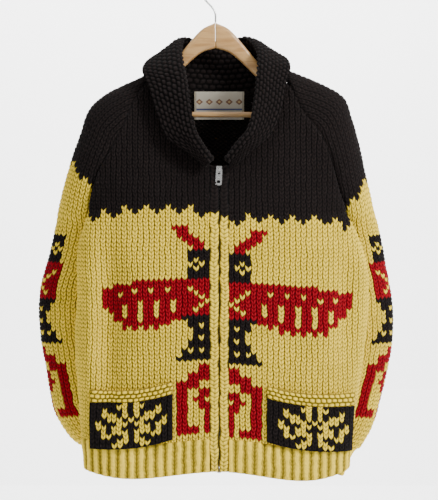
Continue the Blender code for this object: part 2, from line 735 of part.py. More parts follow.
def build_tab(feet_y):
    """The pull tab: a plate with a slot for the arch and a window near its end."""
    pivot = Vector((ZIP_X, feet_y - TAB_OUT, SLIDER_HEIGHT - TAB_DROP))
    outline = rounded(TAB_WIDTH, TAB_ABOVE - TAB_LENGTH, TAB_ABOVE, TAB_CORNER)
    slot, window = rounded(*SLOT), rounded(*WINDOW)
    tab = outline_plate("pull_tab", (outline, slot[::-1], window[::-1]), TAB_THICK, STEEL)
    lean = Matrix.Rotation(TAB_LEAN, 4, "Y") @ Matrix.Rotation(radians(90), 4, "X")
    tab.matrix_world = Matrix.Translation(pivot) @ lean


def build_zip_box():
    """The square metal box that ends the chain at the hem."""
    front_y = float(table_at(DEPTH, DEPTH_COLUMNS, "front_y", HEM))
    box("zip_box", (ZIP_X - BOX_HALF_WIDTH, front_y + KNIT + SEAM_GAP, BOX_BOTTOM),
        (ZIP_X + BOX_HALF_WIDTH, front_y + BOX_BACK, BOX_TOP), STEEL, bevel=0.6 * MM)


# ---------------------------------------------------------------- pockets
def on_cloth(grid, reach, height):
    """The point of a front at a length along its rows and a height."""
    line = []
    for row in grid:
        length = np.concatenate([[0], np.cumsum(np.linalg.norm(np.diff(row, axis=0), axis=1))])
        line.append([np.interp(reach, length, row[:, i]) for i in range(3)])
    line = np.array(line)
    return np.array([np.interp(-height, -line[:, 2], line[:, i]) for i in range(3)])


def pocket_grid(pocket, top_share, bottom_share, across, down):
    """Points of the front's own surface between two shares of a pocket's height."""
    grid = front_grid(pocket["side"])
    rows = []
    for share in np.linspace(top_share, bottom_share, down):
        row = []
        for along in np.linspace(0, 1, across):
            reach = (pocket["inner"] - BAND_OUT + (pocket["outer"] - pocket["inner"]) * along) * MM
            bow = POCKET_BOW * np.sin(np.pi * along ** 0.9)
            top = (pocket["top_inner"] + (pocket["top_outer"] - pocket["top_inner"]) * along) * MM
            low = (pocket["bottom_inner"] + (pocket["bottom_outer"] - pocket["bottom_inner"]) * along) * MM
            row.append(on_cloth(grid, reach, top + (low - top) * share - bow))
        rows.append(row)
    return np.array(rows)


def build_pocket(row):
    """A patch pocket, its mouth band, both a knit's thickness in front of the panel."""
    pocket = dict(zip(POCKET_COLUMNS, row))
    tall = (pocket["top_inner"] - pocket["bottom_inner"]) * MM
    band_share = POCKET_BAND / tall
    body = pocket_grid(pocket, band_share + SEAM_GAP / tall, 1.0, POCKET_ACROSS, 5)
    band = pocket_grid(pocket, 0.0, band_share, POCKET_ACROSS, 3)
    for name, grid, finish in (("pocket_", body, CHARCOAL), ("pocket_band_", band, CREAM)):
        into = inward_of(grid, grid * PANEL_IN + (0, 0.02, 0))
        grid = grid - into * (POCKET_KNIT + POCKET_AIR)
        wall(name + pocket["side"], grid, into, finish, thick=POCKET_KNIT)


# ---------------------------------------------------------------- collar
def neckline():
    """The line the collar is knitted on to, from the left of the zip to its right.

    It runs up the left front's edge, over the top of the left sleeve, across
    the top of the back, over the right sleeve and down the right front.
    """
    lines, inward, outward = [], [], []
    for side in ("left", "right"):
        grid = front_grid(side)
        above = grid[:, 0, 2] > ZIP_TOP - 2 * MM
        edge = grid[above][::-1]
        line = edge[:, 0]
        cap = sleeve_points[side]
        cap_in = inward_of(cap, sleeve_frames(side)[0][:, None] + 0 * cap)
        over = slice(1, -1, 2)
        line = np.concatenate([line, cap[0, over]])
        deep = np.concatenate([np.tile((0.0, 1.0, 0.0), (above.sum(), 1)), cap_in[0, over]])
        away = np.concatenate([unit(edge[:, 0] - edge[:, 1]), unit(cap[0, over] - cap[1, over])])
        lines.append(line)
        inward.append(deep)
        outward.append(away)
    top = back_grid()[0, 2:-2:2]
    deep = np.tile((0.0, -1.0, 0.0), (len(top), 1))
    rise = np.tile((0.0, 0.0, 1.0), (len(top), 1))
    line = np.concatenate([lines[0], top, lines[1][::-1]])
    deep = np.concatenate([inward[0], deep, inward[1][::-1]])
    away = np.concatenate([outward[0], rise, outward[1][::-1]])
    return line, deep, away


def build_collar():
    """The shawl collar: a stand up from the neck seam, a soft fold, and a fall."""
    table = smooth(np.array(COLLAR, float) * MM, 2)
    fold, edge = table[:, 0:3], table[:, 3:6]
    line, deep, away = neckline()
    length = np.concatenate([[0], np.cumsum(np.linalg.norm(np.diff(line, axis=0), axis=1))])
    rows = np.linspace(0, length[-1], len(table))
    fold, edge = [np.stack([np.interp(length, rows, part[:, i]) for i in range(3)], axis=1)
                  for part in (fold, edge)]
    seam = line + deep * KNIT + away * COLLAR_CLEAR
    rows = []
    for s, f, e in zip(seam, fold, edge):
        rise, fall = unit(f - s), unit(f - e)
        over = unit(e - s - rise * np.dot(e - s, rise))
        near = f - over * 0.2 * COLLAR_ROLL
        far = f + over * 1.2 * COLLAR_ROLL
        top = f + over * 0.5 * COLLAR_ROLL + unit(rise + fall) * 0.55 * COLLAR_ROLL
        low_in = s * 0.5 + near * 0.5
        low_out = far * 0.55 + e * 0.45 + unit(rise + fall) * 0.1 * COLLAR_ROLL
        rows.append([s, low_in, near, top, far, low_out, e])
    grid = np.array(rows)
    hub = grid[:, [0]] * 0.25 + grid[:, [6]] * 0.45 + grid[:, [3]] * 0.3
    into = inward_of(grid, hub + 0 * grid)
    into[:, 0] = -deep * KNIT / COLLAR_KNIT
    return wall("collar", grid, into, CHARCOAL, thick=COLLAR_KNIT)


# ---------------------------------------------------------------- hanger
def build_arm(side):
    """One half of the wooden hanger, a tapering bar bent down at the shoulder."""
    hand = 1 if side == "right" else -1
    table = smooth(np.array(HANGER_ARM, float) * MM, 2)
    sections = []
    for out, height, tall, deep in table:
        x = hand * max(out, WOOD_JOINT / 2)
        ring = []
        for step in range(ARM_SIDES):
            turn = 2 * np.pi * step / ARM_SIDES
            y = np.sign(np.cos(turn)) * abs(np.cos(turn)) ** ARM_SQUARE * deep / 2
            z = np.sign(np.sin(turn)) * abs(np.sin(turn)) ** ARM_SQUARE * tall / 2
            ring.append((x, HANGER_MIDDLE_Y + y, height + z))
        sections.append(ring)
    points = np.array(sections).reshape(-1, 3)
    faces = []
    for r in range(len(sections) - 1):
        for c in range(ARM_SIDES):
            low, next_low = r * ARM_SIDES + c, r * ARM_SIDES + (c + 1) % ARM_SIDES
            faces.append((low, next_low, next_low + ARM_SIDES, low + ARM_SIDES))
    faces.append(tuple(reversed(range(ARM_SIDES))))
    faces.append(tuple(range(len(points) - ARM_SIDES, len(points))))
    return add_mesh("hanger_arm_" + side, points, faces, WOOD)


def build_bar():
    """The round trouser bar between the two arms."""
    bpy.ops.mesh.primitive_cylinder_add(vertices=16, radius=BAR_RADIUS, depth=2 * BAR_REACH)
    bar = bpy.context.object
    bar.name = "trouser_bar"
    bar.data.materials.append(WOOD)
    bar.rotation_euler = (0, radians(90), 0)
    bar.location = (0, HANGER_MIDDLE_Y, BAR_HEIGHT)
    for owner in bar.users_collection:
        owner.objects.unlink(bar)
    parts.objects.link(bar)


def build_hook():
    """The bent wire: a short stem out of the wood, then three quarters of a ring."""
    wire = bpy.data.curves.new("hook", "CURVE")
    wire.dimensions = "3D"
    wire.bevel_depth = HOOK_WIRE
    wire.bevel_resolution = 3
    wire.use_fill_caps = True
    centre_z = HOOK_WIRE - HOOK_RADIUS
    stem = [(x * MM, z * MM) for x, z in HOOK_STEM]
    turns = np.radians(np.linspace(*HOOK_TURN, 22))
    ring = [(HOOK_RADIUS * np.cos(t), centre_z + HOOK_RADIUS * np.sin(t)) for t in turns]
    line = smooth(np.array([(x, 0, z) for x, z in stem + ring]), 2)
    spline = wire.splines.new("POLY")
    spline.points.add(len(line) - 1)
    for point, (x, y, z) in zip(spline.points, line):
        point.co = (x, y, z, 1)
    obj = bpy.data.objects.new("hook", wire)
    wire.materials.append(STEEL)
    parts.objects.link(obj)


def build_label():
    """The woven label, sewn flat inside the back of the neck."""
    back = back_grid()
    rows = []
    for z in np.linspace(LABEL_TOP, LABEL_TOP - LABEL_HEIGHT, 4):
        row = []
        for x in ZIP_X + np.linspace(-LABEL_WIDTH / 2, LABEL_WIDTH / 2, 7):
            line = np.array([[np.interp(x, level[:, 0], level[:, i]) for i in range(3)] for level in back])
            row.append((x, np.interp(-z, -line[:, 2], line[:, 1]), z))
        rows.append(row)
    grid = np.array(rows)
    grid[..., 1] -= KNIT + LABEL_THICK + LABEL_AIR
    into = inward_of(grid, grid + (0, 1, 0))
    wall("neck_label", grid, into, LABEL, thick=LABEL_THICK)


for side in SLEEVES:
    build_sleeve(side)
    build_cuff(side)
    build_front(side)
build_back()
build_bands()
build_zip()
build_tab(build_slider())
build_zip_box()
for pocket_row in POCKETS:
    build_pocket(pocket_row)
build_collar()
build_arm("left")
build_arm("right")
build_bar()
build_hook()
build_label()
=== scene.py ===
"""A bulky cowichan cardigan on a wooden hanger, knitted stitch by stitch.

Metres, +Z up; the wearer's front faces -Y.  The origin is where a rod carries
the hanger: the underside of the top of its wire hook.
"""
import bpy
import numpy as np
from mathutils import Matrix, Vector


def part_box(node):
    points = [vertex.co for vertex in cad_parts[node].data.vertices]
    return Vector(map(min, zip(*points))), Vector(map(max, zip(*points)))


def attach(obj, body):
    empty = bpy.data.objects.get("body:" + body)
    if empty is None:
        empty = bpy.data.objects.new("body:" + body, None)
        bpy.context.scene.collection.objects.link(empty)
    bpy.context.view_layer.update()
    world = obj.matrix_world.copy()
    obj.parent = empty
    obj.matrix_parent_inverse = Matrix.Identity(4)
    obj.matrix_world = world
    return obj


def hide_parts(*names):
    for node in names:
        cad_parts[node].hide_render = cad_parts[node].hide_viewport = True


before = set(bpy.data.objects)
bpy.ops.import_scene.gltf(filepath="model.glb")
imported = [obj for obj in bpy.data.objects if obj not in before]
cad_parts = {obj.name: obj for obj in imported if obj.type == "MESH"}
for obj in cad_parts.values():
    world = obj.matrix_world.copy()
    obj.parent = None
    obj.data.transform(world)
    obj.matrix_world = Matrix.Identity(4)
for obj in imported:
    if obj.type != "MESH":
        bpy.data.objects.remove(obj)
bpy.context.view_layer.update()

# ============================================================ the sleeves
# Two raglan sleeves of six-ply wool, each a tapering tube knitted upwards from
# the cuff and sewn to both fronts and the back along slanting seams.  They
# hang beside and a little behind the body, with a soft bend at the elbow.
MM = 0.001
WALE = 8.8 * MM            # width of one stitch
ROW = 6.4 * MM             # height of one stitch
KNIT = 5.5 * MM            # thickness of the cloth
LEAN = 0.8                 # rows by which the two legs of a stitch rise
LOFT = 3.5 * MM            # how far the yarn stands out of its grooves
ACROSS, DOWN = 6, 3        # points across and down one stitch
UNEVEN = 0.16              # stitches by which hand knitting strays from its grid
CREAM = (0.98, 0.70, 0.055)
CHARCOAL = (0.0115, 0.0080, 0.0075)
RED = (0.31, 0.0015, 0.0100)
DYES = np.array([CREAM, CHARCOAL, RED])   # the figures call them 0, 1 and 2
EDGE_FADE = 0.6 * WALE     # width of the groove along a piece's edges
EDGE_SINK = 1.2            # depth of that groove, in millimetres
SUNK = 0.55                # share of the loft that lies under the piece's given surface
PLUMP = 0.22               # share by which a stitch may stand higher or lower than the rest
SWELL = 0.5 * MM           # slow rise and fall of the whole cloth
SKIN = 0.2 * MM            # room kept to a row's ends and behind the inner side
MERGE = 0.02 * MM          # points of an edge that lie closer than this become one
YOKE = -0.3735             # height where the charcoal turns to cream at the zip

# In millimetres from neck to wrist: x and z of the outline's outer line (the
# crest), x and z of the seam line opposite, how far back the middle lies, half
# the depth, and how far round the seam lies from the crest, in degrees.
LEFT_SLEEVE = (
    (-94, -142, -105, -156, 0, 20, 62),
    (-128, -158, -122, -178, 0, 30, 68),
    (-169, -178, -137, -208, 1, 38, 74),
    (-190, -193, -147, -233, 2, 43, 78),
    (-205, -212, -158, -254, 4, 46, 81),
    (-216, -244, -171, -276, 6, 48, 84),
    (-230, -284, -189, -308, 9, 47, 88),
    (-243, -330, -200, -350, 14, 43, 94),
    (-250, -358, -200, -378, 18, 40, 105),
    (-253, -372, -190, -393, 21, 36, 130),
    (-256, -388, -163, -402, 24, 34, 180),
    (-262, -415, -162, -428, 30, 34, 180),
    (-270, -446, -156, -458, 38, 36, 180),
    (-281, -482, -154, -490, 45, 38, 180),
    (-285, -519, -156, -524, 49, 39, 180),
    (-284, -551, -158, -555, 51, 39, 180),
    (-281, -583, -160, -586, 52, 38, 180),
    (-275, -615, -160, -618, 52, 38, 180),
    (-268, -655, -156, -652, 52, 37, 180),
    (-262, -685, -150, -676, 52, 36, 180),
    (-250, -710, -145, -694, 52, 34, 180),
    (-234, -733, -141, -707, 52, 31, 180),
    (-219, -746, -141, -713, 52, 27, 180),
)
RIGHT_SLEEVE = (
    (104, -141, 112, -161, 0, 20, 62),
    (120, -145, 121, -171, 0, 30, 68),
    (153, -158, 133, -198, 1, 38, 74),
    (180, -170, 147, -219, 2, 43, 78),
    (206, -188, 163, -238, 4, 46, 81),
    (218, -221, 176, -262, 6, 48, 84),
    (230, -262, 189, -298, 9, 47, 88),
    (240, -308, 200, -340, 14, 44, 93),
    (249, -345, 208, -370, 18, 41, 103),
    (254, -368, 203, -392, 21, 36, 130),
    (260, -388, 177, -401, 24, 34, 180),
    (266, -412, 177, -428, 31, 34, 180),
    (273, -446, 172, -462, 39, 36, 180),
    (280, -480, 164, -494, 45, 38, 180),
    (285, -512, 160, -524, 49, 39, 180),
    (287, -545, 161, -553, 51, 39, 180),
    (286, -575, 162, -582, 52, 38, 180),
    (281, -606, 163, -612, 52, 38, 180),
    (273, -645, 162, -645, 52, 37, 180),
    (264, -680, 158, -674, 52, 36, 180),
    (256, -708, 153, -696, 52, 34, 180),
    (244, -734, 148, -712, 52, 31, 180),
    (232, -752, 148, -722, 52, 27, 180),
)
SLEEVES = {"left": LEFT_SLEEVE, "right": RIGHT_SLEEVE}
HAND = {"left": -1, "right": 1}
UNDERARM_ROW = 10          # where the raglan seams end and the tube closes
SMOOTHING = 6              # stretches that a table's step is divided into


class Link:
    """An output in a node tree; arithmetic on it adds Math nodes."""

    def __init__(self, tree, output=None):
        self.tree, self.output = tree, output

    def node(self, kind, settings, inputs, output=0):
        """Add a node of any type: its settings first, then its sockets' values or links."""
        made = self.tree.nodes.new(kind)
        for name, value in settings.items():
            setattr(made, name, value)
        for name, value in inputs.items():
            if isinstance(value, Link):
                self.tree.links.new(value.output, made.inputs[name])
            else:
                made.inputs[name].default_value = value
        return Link(self.tree, made.outputs[output])

    def math(self, operation, *values):
        """One Math node on numbers or links."""
        return self.node("ShaderNodeMath", {"operation": operation}, dict(enumerate(values)))

    def step(self, low, high):
        """A smooth rise from 0 at low to 1 at high."""
        return self.node("ShaderNodeMapRange", {"interpolation_type": "SMOOTHSTEP"},
                         {"Value": self, "From Min": low, "From Max": high})

    def mix(self, first, second):
        """Colour first where this is 0 and second where it is 1."""
        return self.node("ShaderNodeMix", {"data_type": "RGBA"}, {0: self, 6: first, 7: second}, 2)

    def __add__(self, other):
        return self.math("ADD", self, other)

    def __sub__(self, other):
        return self.math("SUBTRACT", self, other)

    def __rsub__(self, other):
        return self.math("SUBTRACT", other, self)

    def __mul__(self, other):
        return self.math("MULTIPLY", self, other)

    __radd__ = __add__
    __rmul__ = __mul__


def start_material(name):
    """A new Principled material: itself, its shader node and a Link to build from."""
    finish = bpy.data.materials.new(name)
    finish.use_nodes = True
    tree = finish.node_tree
    return finish, tree.nodes["Principled BSDF"], Link(tree)


def join(link, shader, name):
    """Lead a link into one of the shader's sockets."""
    link.tree.links.new(link.output, shader.inputs[name])


def wool_material():
    """Thick spun wool: each stitch's own dye with flecks and fibres, painted shade that darkens the grooves
    between the stitches, and a faint painted highlight at the crests of the yarn.

    The dye comes with each face, and the point attribute called stitch holds
    the wale, the course and how high the yarn stands, from 0 to 1.
    """
    finish, shader, at = start_material("spun_wool")
    dye = at.node("ShaderNodeAttribute", {"attribute_name": "dye"}, {})
    stitch = at.node("ShaderNodeAttribute", {"attribute_name": "stitch"}, {}, 1)
    parts = at.node("ShaderNodeSeparateXYZ", {}, {0: stitch})
    wale, course, height = [Link(at.tree, parts.output.node.outputs[i]) for i in range(3)]
    inside = at.node("ShaderNodeAttribute", {"attribute_name": "inside"}, {}, 2)
    place = at.node("ShaderNodeTexCoord", {}, {}, 3)
    patches = at.node("ShaderNodeTexNoise", {}, {"Vector": place, "Scale": 22.0, "Detail": 2.0})
    flecks = at.node("ShaderNodeTexNoise", {}, {"Vector": place, "Scale": 260.0, "Detail": 3.0})
    hairs = at.node("ShaderNodeTexNoise", {}, {"Vector": place, "Scale": 900.0, "Detail": 4.0,
                                               "Roughness": 0.7})
    turns = (wale * 6.2832).math("SINE", wale * 6.2832)
    bars = (course * 6.2832).math("SINE", course * 6.2832)
    purl = (turns * bars) * 0.5 + 0.5
    open_height = height * (1 - inside) + purl * inside
    # Painted shade: the colour is darkened where the yarn lies low, in the grooves between stitches and
    # between the purl bumps inside.
    groove = open_height.step(0.08, 0.85)
    shade = groove * 0.84 + 0.16
    # This multiplies the painted groove shade with the wool's own patches, flecks and fibres.
    groove_shade_and_flecks = shade * (patches * 0.34 + 0.83) * (flecks * 0.5 + 0.75) * (hairs * 0.5 + 0.75)
    grey = at.node("ShaderNodeCombineColor", {}, {"Red": groove_shade_and_flecks, "Green": groove_shade_and_flecks, "Blue": groove_shade_and_flecks})
    dye_with_painted_shade = at.node("ShaderNodeMix", {"data_type": "RGBA", "blend_type": "MULTIPLY"},
                   {0: 1.0, 6: dye, 7: grey}, 2)
    # Painted highlight: a faint warm glint added on the fibres, only at the crests of the yarn.
    painted_highlight = at.node("ShaderNodeMix", {"data_type": "RGBA", "blend_type": "ADD"},
                    {0: (flecks * hairs).step(0.27, 0.5) * 0.5 * groove, 6: dye_with_painted_shade,
                     7: (0.020, 0.010, 0.004, 1.0)}, 2)
    join(painted_highlight, shader, "Base Color")
    join(0.97 - groove * 0.08, shader, "Roughness")
    relief = hairs * 0.35 + flecks * 0.5 + purl * inside * 4.0
    bump = at.node("ShaderNodeBump", {}, {"Height": relief, "Strength": 0.55, "Distance": 0.0012})
    join(bump, shader, "Normal")
    shader.inputs["Sheen Weight"].default_value = 0.04
    shader.inputs["Sheen Roughness"].default_value = 0.6
    shader.inputs["Specular IOR Level"].default_value = 0.06
    return finish


WOOL = wool_material()


def unit(vectors):
    """The same directions with a length of one."""
    return vectors / np.maximum(np.linalg.norm(vectors, axis=-1, keepdims=True), 1e-12)


def smooth(rows, steps):
    """A Catmull-Rom curve through every row, with steps stretches between two rows."""
    rows = np.asarray(rows, float)
    padded = np.concatenate([2 * rows[:1] - rows[1:2], rows, 2 * rows[-1:] - rows[-2:-1]])
    a, b, c, d = (padded[i:len(padded) - 3 + i] for i in range(4))
    out = []
    for t in np.arange(steps) / steps:
        out.append(0.5 * (2 * b + (c - a) * t + (2 * a - 5 * b + 4 * c - d) * t ** 2
                          + (3 * b - a - 3 * c + d) * t ** 3))
    out = np.stack(out, axis=1).reshape((-1,) + rows.shape[1:])
    return np.concatenate([out, rows[-1:]])


def along(curve):
    """The length along a row of points, from its start to each point."""
    return np.concatenate([[0], np.cumsum(np.linalg.norm(np.diff(curve, axis=0), axis=1))])


def evenly(curve, count):
    """count points at equal steps of length along a dense curve, and the whole length."""
    reach = along(curve)
    where = np.linspace(0, reach[-1], count)
    return np.stack([np.interp(where, reach, curve[:, i]) for i in range(3)], axis=1), reach[-1]


def outward(grid, towards):
    """The unit normal of a grid of points, turned away from towards."""
    normal = unit(np.cross(np.gradient(grid, axis=0), np.gradient(grid, axis=1)))
    flip = np.sign(np.sum(normal * (grid - towards), axis=-1, keepdims=True))
    return normal * np.where(flip == 0, 1, flip)


def sample(grid, row, column):
    """A grid of points read between its rows and columns by straight blending."""
    r = np.clip(np.floor(row).astype(int), 0, len(grid) - 2)
    c = np.clip(np.floor(column).astype(int), 0, grid.shape[1] - 2)
    a, b = (row - r)[..., None], (column - c)[..., None]
    top = grid[r, c] * (1 - b) + grid[r, c + 1] * b
    low = grid[r + 1, c] * (1 - b) + grid[r + 1, c + 1] * b
    return top * (1 - a) + low * a


def plain_knit(u, r):
    """Stocking stitch: two plump legs to a stitch, a groove round each, from 0 to 1."""
    side = np.abs(np.sin(2 * np.pi * u)) ** 0.7
    middle = np.clip(1 - 6 * np.abs(u % 1 - 0.5), 0, 1) * 0.5
    strand = np.sin(np.pi * (r % 1)) ** 0.6
    return np.maximum(side, middle) * (0.35 + 0.65 * strand)


def garter(u, r):
    """Rows of round bumps, every second row moved by half a stitch, from 0 to 1."""
    shift = 0.5 * (np.floor(r) % 2)
    return (np.abs(np.sin(np.pi * (u + shift))) * np.sin(np.pi * (r % 1))) ** 0.7


def facing_out(points, triangles):
    """Triangles turned so that a closed shell's volume, the sum of p . (q x s) / 6, is above 0."""
    p, q, s = (points[triangles[:, i]] for i in range(3))
    return triangles[:, ::-1] if np.sum(p * np.cross(q, s)) < 0 else triangles


def build(name, points, triangles, finish):
    """A smooth mesh object made of triangles, fixed to the part's still body."""
    mesh = bpy.data.meshes.new(name)
    mesh.vertices.add(len(points))
    mesh.vertices.foreach_set("co", np.asarray(points, np.float32).ravel())
    mesh.loops.add(3 * len(triangles))
    mesh.loops.foreach_set("vertex_index", np.asarray(triangles, np.int32).ravel())
    mesh.polygons.add(len(triangles))
    mesh.polygons.foreach_set("loop_start", np.arange(0, 3 * len(triangles), 3, dtype=np.int32))
    mesh.update(calc_edges=True)
    mesh.polygons.foreach_set("use_smooth", np.ones(len(triangles), bool))
    mesh.materials.append(finish)
    obj = bpy.data.objects.new(name, mesh)
    bpy.context.scene.collection.objects.link(obj)
    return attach(obj, "root")


def rim(outer, inner, every):
    """Triangles between a fine edge and a coarse one with every steps to one."""
    count = len(outer) - 1
    nearest = (np.arange(count) + every // 2) // every
    fine = np.stack([outer[1:], outer[:-1], inner[nearest]], axis=1)
    turning = np.arange(len(inner) - 1) * every + (every + 1) // 2
    coarse = np.stack([inner[:-1], inner[1:], outer[turning]], axis=1)
    return np.concatenate([fine, coarse])


def wobble(u, v, seed):
    """Smooth unevenness from -1 to 1: a random value at every stitch, blended between them.

    The values repeat after 96 rows and 88 wales.
    """
    values = np.random.default_rng(seed).uniform(-1, 1, (97, 89))
    return sample(values[..., None], v % 96, u % 88)[..., 0]


def cloth(name, place, across, down, dye, relief=plain_knit, lean=LEAN, loft=LOFT, thick=KNIT,
          base=0.0):
    """One knitted piece: a closed wall whose outer side has every stitch as relief.

    place(u, v) gives points, outward directions and the distance to the
    piece's nearest edge, with u in wales and v in rows, held inside the piece.
    A point of the outer side lies at v = r - lean |2 frac(u) - 1|, so that the
    lines of constant r follow the legs of the stitches.  It stands out by
    loft times relief(u, r), which fades into a groove along the edges.
    dye(wale, row) gives each stitch's colour as a row of DYES.
    """
    columns = (across[1] - across[0]) * ACROSS + 1
    rows = (down[1] + 1 - down[0]) * DOWN + 1
    u, r = np.meshgrid(np.linspace(across[0], across[1], columns),
                       np.linspace(down[0], down[1] + 1, rows))
    v = r - lean * np.abs(2 * (u % 1) - 1)
    seed = sum(map(ord, name))
    uneven = wobble(u + 0.5, r, seed)
    point, normal, edge = place(u + UNEVEN * wobble(u, v, seed + 1), v + UNEVEN * wobble(u, v, seed + 2))
    high = relief(u, r)
    fade = np.clip(edge / EDGE_FADE, 0, 1)
    rise = base * fade + loft * (high * (0.3 + 0.7 * fade) * (1 + PLUMP * uneven) - SUNK)
    rise = rise - (1 - fade) * EDGE_SINK * MM + SWELL * wobble(u / 5, r / 5, seed + 3) * fade
    outer = point + normal * rise[..., None]
    inner_u, inner_r = u[::DOWN, ::ACROSS], r[::DOWN, ::ACROSS]
    inner_point, inner_normal, _ = place(inner_u, inner_r - lean)
    inner = inner_point - inner_normal * (thick - SKIN)
    points = np.concatenate([outer.reshape(-1, 3), inner.reshape(-1, 3)])
    stitch = np.concatenate([np.stack([u, r, high], axis=-1).reshape(-1, 3),
                             np.stack([inner_u, inner_r, 0.5 + 0 * inner_u], axis=-1).reshape(-1, 3)])
    fine = np.arange(outer.shape[0] * outer.shape[1]).reshape(outer.shape[:2])
    coarse = fine.size + np.arange(inner.shape[0] * inner.shape[1]).reshape(inner.shape[:2])

    def halves(index, turn):
        """Both triangles of every square of a grid of point numbers."""
        a, b, c, d = index[:-1, :-1], index[:-1, 1:], index[1:, 1:], index[1:, :-1]
        pair = np.stack([np.stack([a, b, c], -1), np.stack([a, c, d], -1)], axis=2)
        return pair.reshape(-1, 3)[:, ::turn]

    wale = np.floor((u[:-1, :-1] + u[:-1, 1:]) / 2).astype(int)
    row = np.floor((r[:-1, :-1] + r[1:, :-1]) / 2).astype(int)
    inner_wale = np.floor(inner_u[:-1, :-1] + 0.5).astype(int)
    inner_row = np.floor(inner_r[:-1, :-1] + 0.5).astype(int)
    borders = [(fine[0], coarse[0], ACROSS), (fine[:, -1], coarse[:, -1], DOWN),
               (fine[-1, ::-1], coarse[-1, ::-1], ACROSS), (fine[::-1, 0], coarse[::-1, 0], DOWN)]
    rims = np.concatenate([rim(*border) for border in borders])
    triangles = np.concatenate([halves(fine, 1), halves(coarse, -1), rims])
    colour = np.concatenate([np.repeat(dye(wale, row).ravel(), 2),
                             np.repeat(dye(inner_wale, inner_row).ravel(), 2)])
    flat_row, flat_wale = r.ravel(), u.ravel()
    corner = np.where(rims[:, 0] < fine.size, rims[:, 0], rims[:, 2])
    rim_colour = dye(np.floor(flat_wale[corner] - 0.01).astype(int),
                     np.floor(flat_row[corner] - 0.01).astype(int))
    colour = np.concatenate([colour, rim_colour])
    inside = np.zeros(len(triangles))
    inside[2 * wale.size:2 * (wale.size + inner_wale.size)] = 1

    # Points that were held on one spot of an edge are joined, and what that flattens goes.
    key = np.round(points / MERGE).astype(np.int64)
    key = (key[:, 0] * 2000003 + key[:, 1]) * 2000003 + key[:, 2]
    _, first, back = np.unique(key, return_index=True, return_inverse=True)
    triangles = back.reshape(-1)[triangles]
    a, b, c = triangles.T
    keep = (a != b) & (b != c) & (c != a)
    points, stitch, triangles = points[first], stitch[first], triangles[keep]
    obj = build(name, points, facing_out(points, triangles), WOOL)
    mesh = obj.data
    dyes = np.ones((len(triangles), 4))
    dyes[:, :3] = DYES[colour[keep]]
    mesh.attributes.new("dye", "FLOAT_COLOR", "CORNER").data.foreach_set(
        "color", np.repeat(dyes, 3, axis=0).astype(np.float32).ravel())
    mesh.attributes.new("stitch", "FLOAT_VECTOR", "POINT").data.foreach_set(
        "vector", stitch.astype(np.float32).ravel())
    mesh.attributes.new("inside", "FLOAT", "FACE").data.foreach_set(
        "value", inside[keep].astype(np.float32))
    return obj


class Sleeve:
    """The surface of one sleeve as a fine grid, read by wale and row.

    A row is an ellipse through the crest; it runs from the front seam over the
    crest to the back seam, and its points lie at equal steps of length.
    """

    def __init__(self, side):
        table = smooth(np.array(SLEEVES[side], float), SMOOTHING)
        table[:, :6] *= MM
        crest = np.stack([table[:, 0], table[:, 4], table[:, 1]], axis=1)
        seam = np.stack([table[:, 2], table[:, 4], table[:, 3]], axis=1)
        angle = np.radians(np.minimum(table[:, 6], 180))
        angle[UNDERARM_ROW * SMOOTHING:] = np.pi
        reach = (crest - seam) / (1 - np.cos(angle))[:, None]
        self.middle, self.reach, self.depth = crest - reach, reach, table[:, 5]
        turn = np.linspace(-1, 1, 129)[None, :] * angle[:, None]
        arcs = (self.middle[:, None] + reach[:, None] * np.cos(turn)[..., None]
                + np.array([0, 1, 0]) * (self.depth[:, None] * np.sin(turn))[..., None])
        rows = [evenly(arc, 65) for arc in arcs]
        self.grid = np.array([row for row, _ in rows])
        self.half = np.array([length for _, length in rows]) / 2
        self.normal = outward(self.grid, self.middle[:, None])
        self.row_at = along(self.middle) / ROW
        yoke = slice(0, UNDERARM_ROW * SMOOTHING + 1)
        self.raglan = {"front": self.grid[yoke, 0], "back": self.grid[yoke, -1]}

    def crest_row(self, height):
        """The row of knitting whose crest lies at a height."""
        crest = self.grid[:, self.grid.shape[1] // 2, 2]
        return np.interp(-height, -crest, self.row_at)

    def place(self, u, v):
        """Points, outward directions and edge distances at wale u from the crest, row v."""
        at = np.interp(np.clip(v, 0, self.row_at[-1]), self.row_at, np.arange(len(self.row_at)))
        half = np.interp(at, np.arange(len(self.half)), self.half)
        reach = np.clip(u * WALE, -half + SKIN, half - SKIN)
        column = (reach / half + 1) * (self.grid.shape[1] - 1) / 2
        ends = np.minimum(np.clip(v, 0, None), np.clip(self.row_at[-1] - v, 0, None)) * ROW
        edge = np.minimum(half - np.abs(reach), ends + 3 * MM)
        return sample(self.grid, at, column), unit(sample(self.normal, at, column)), edge


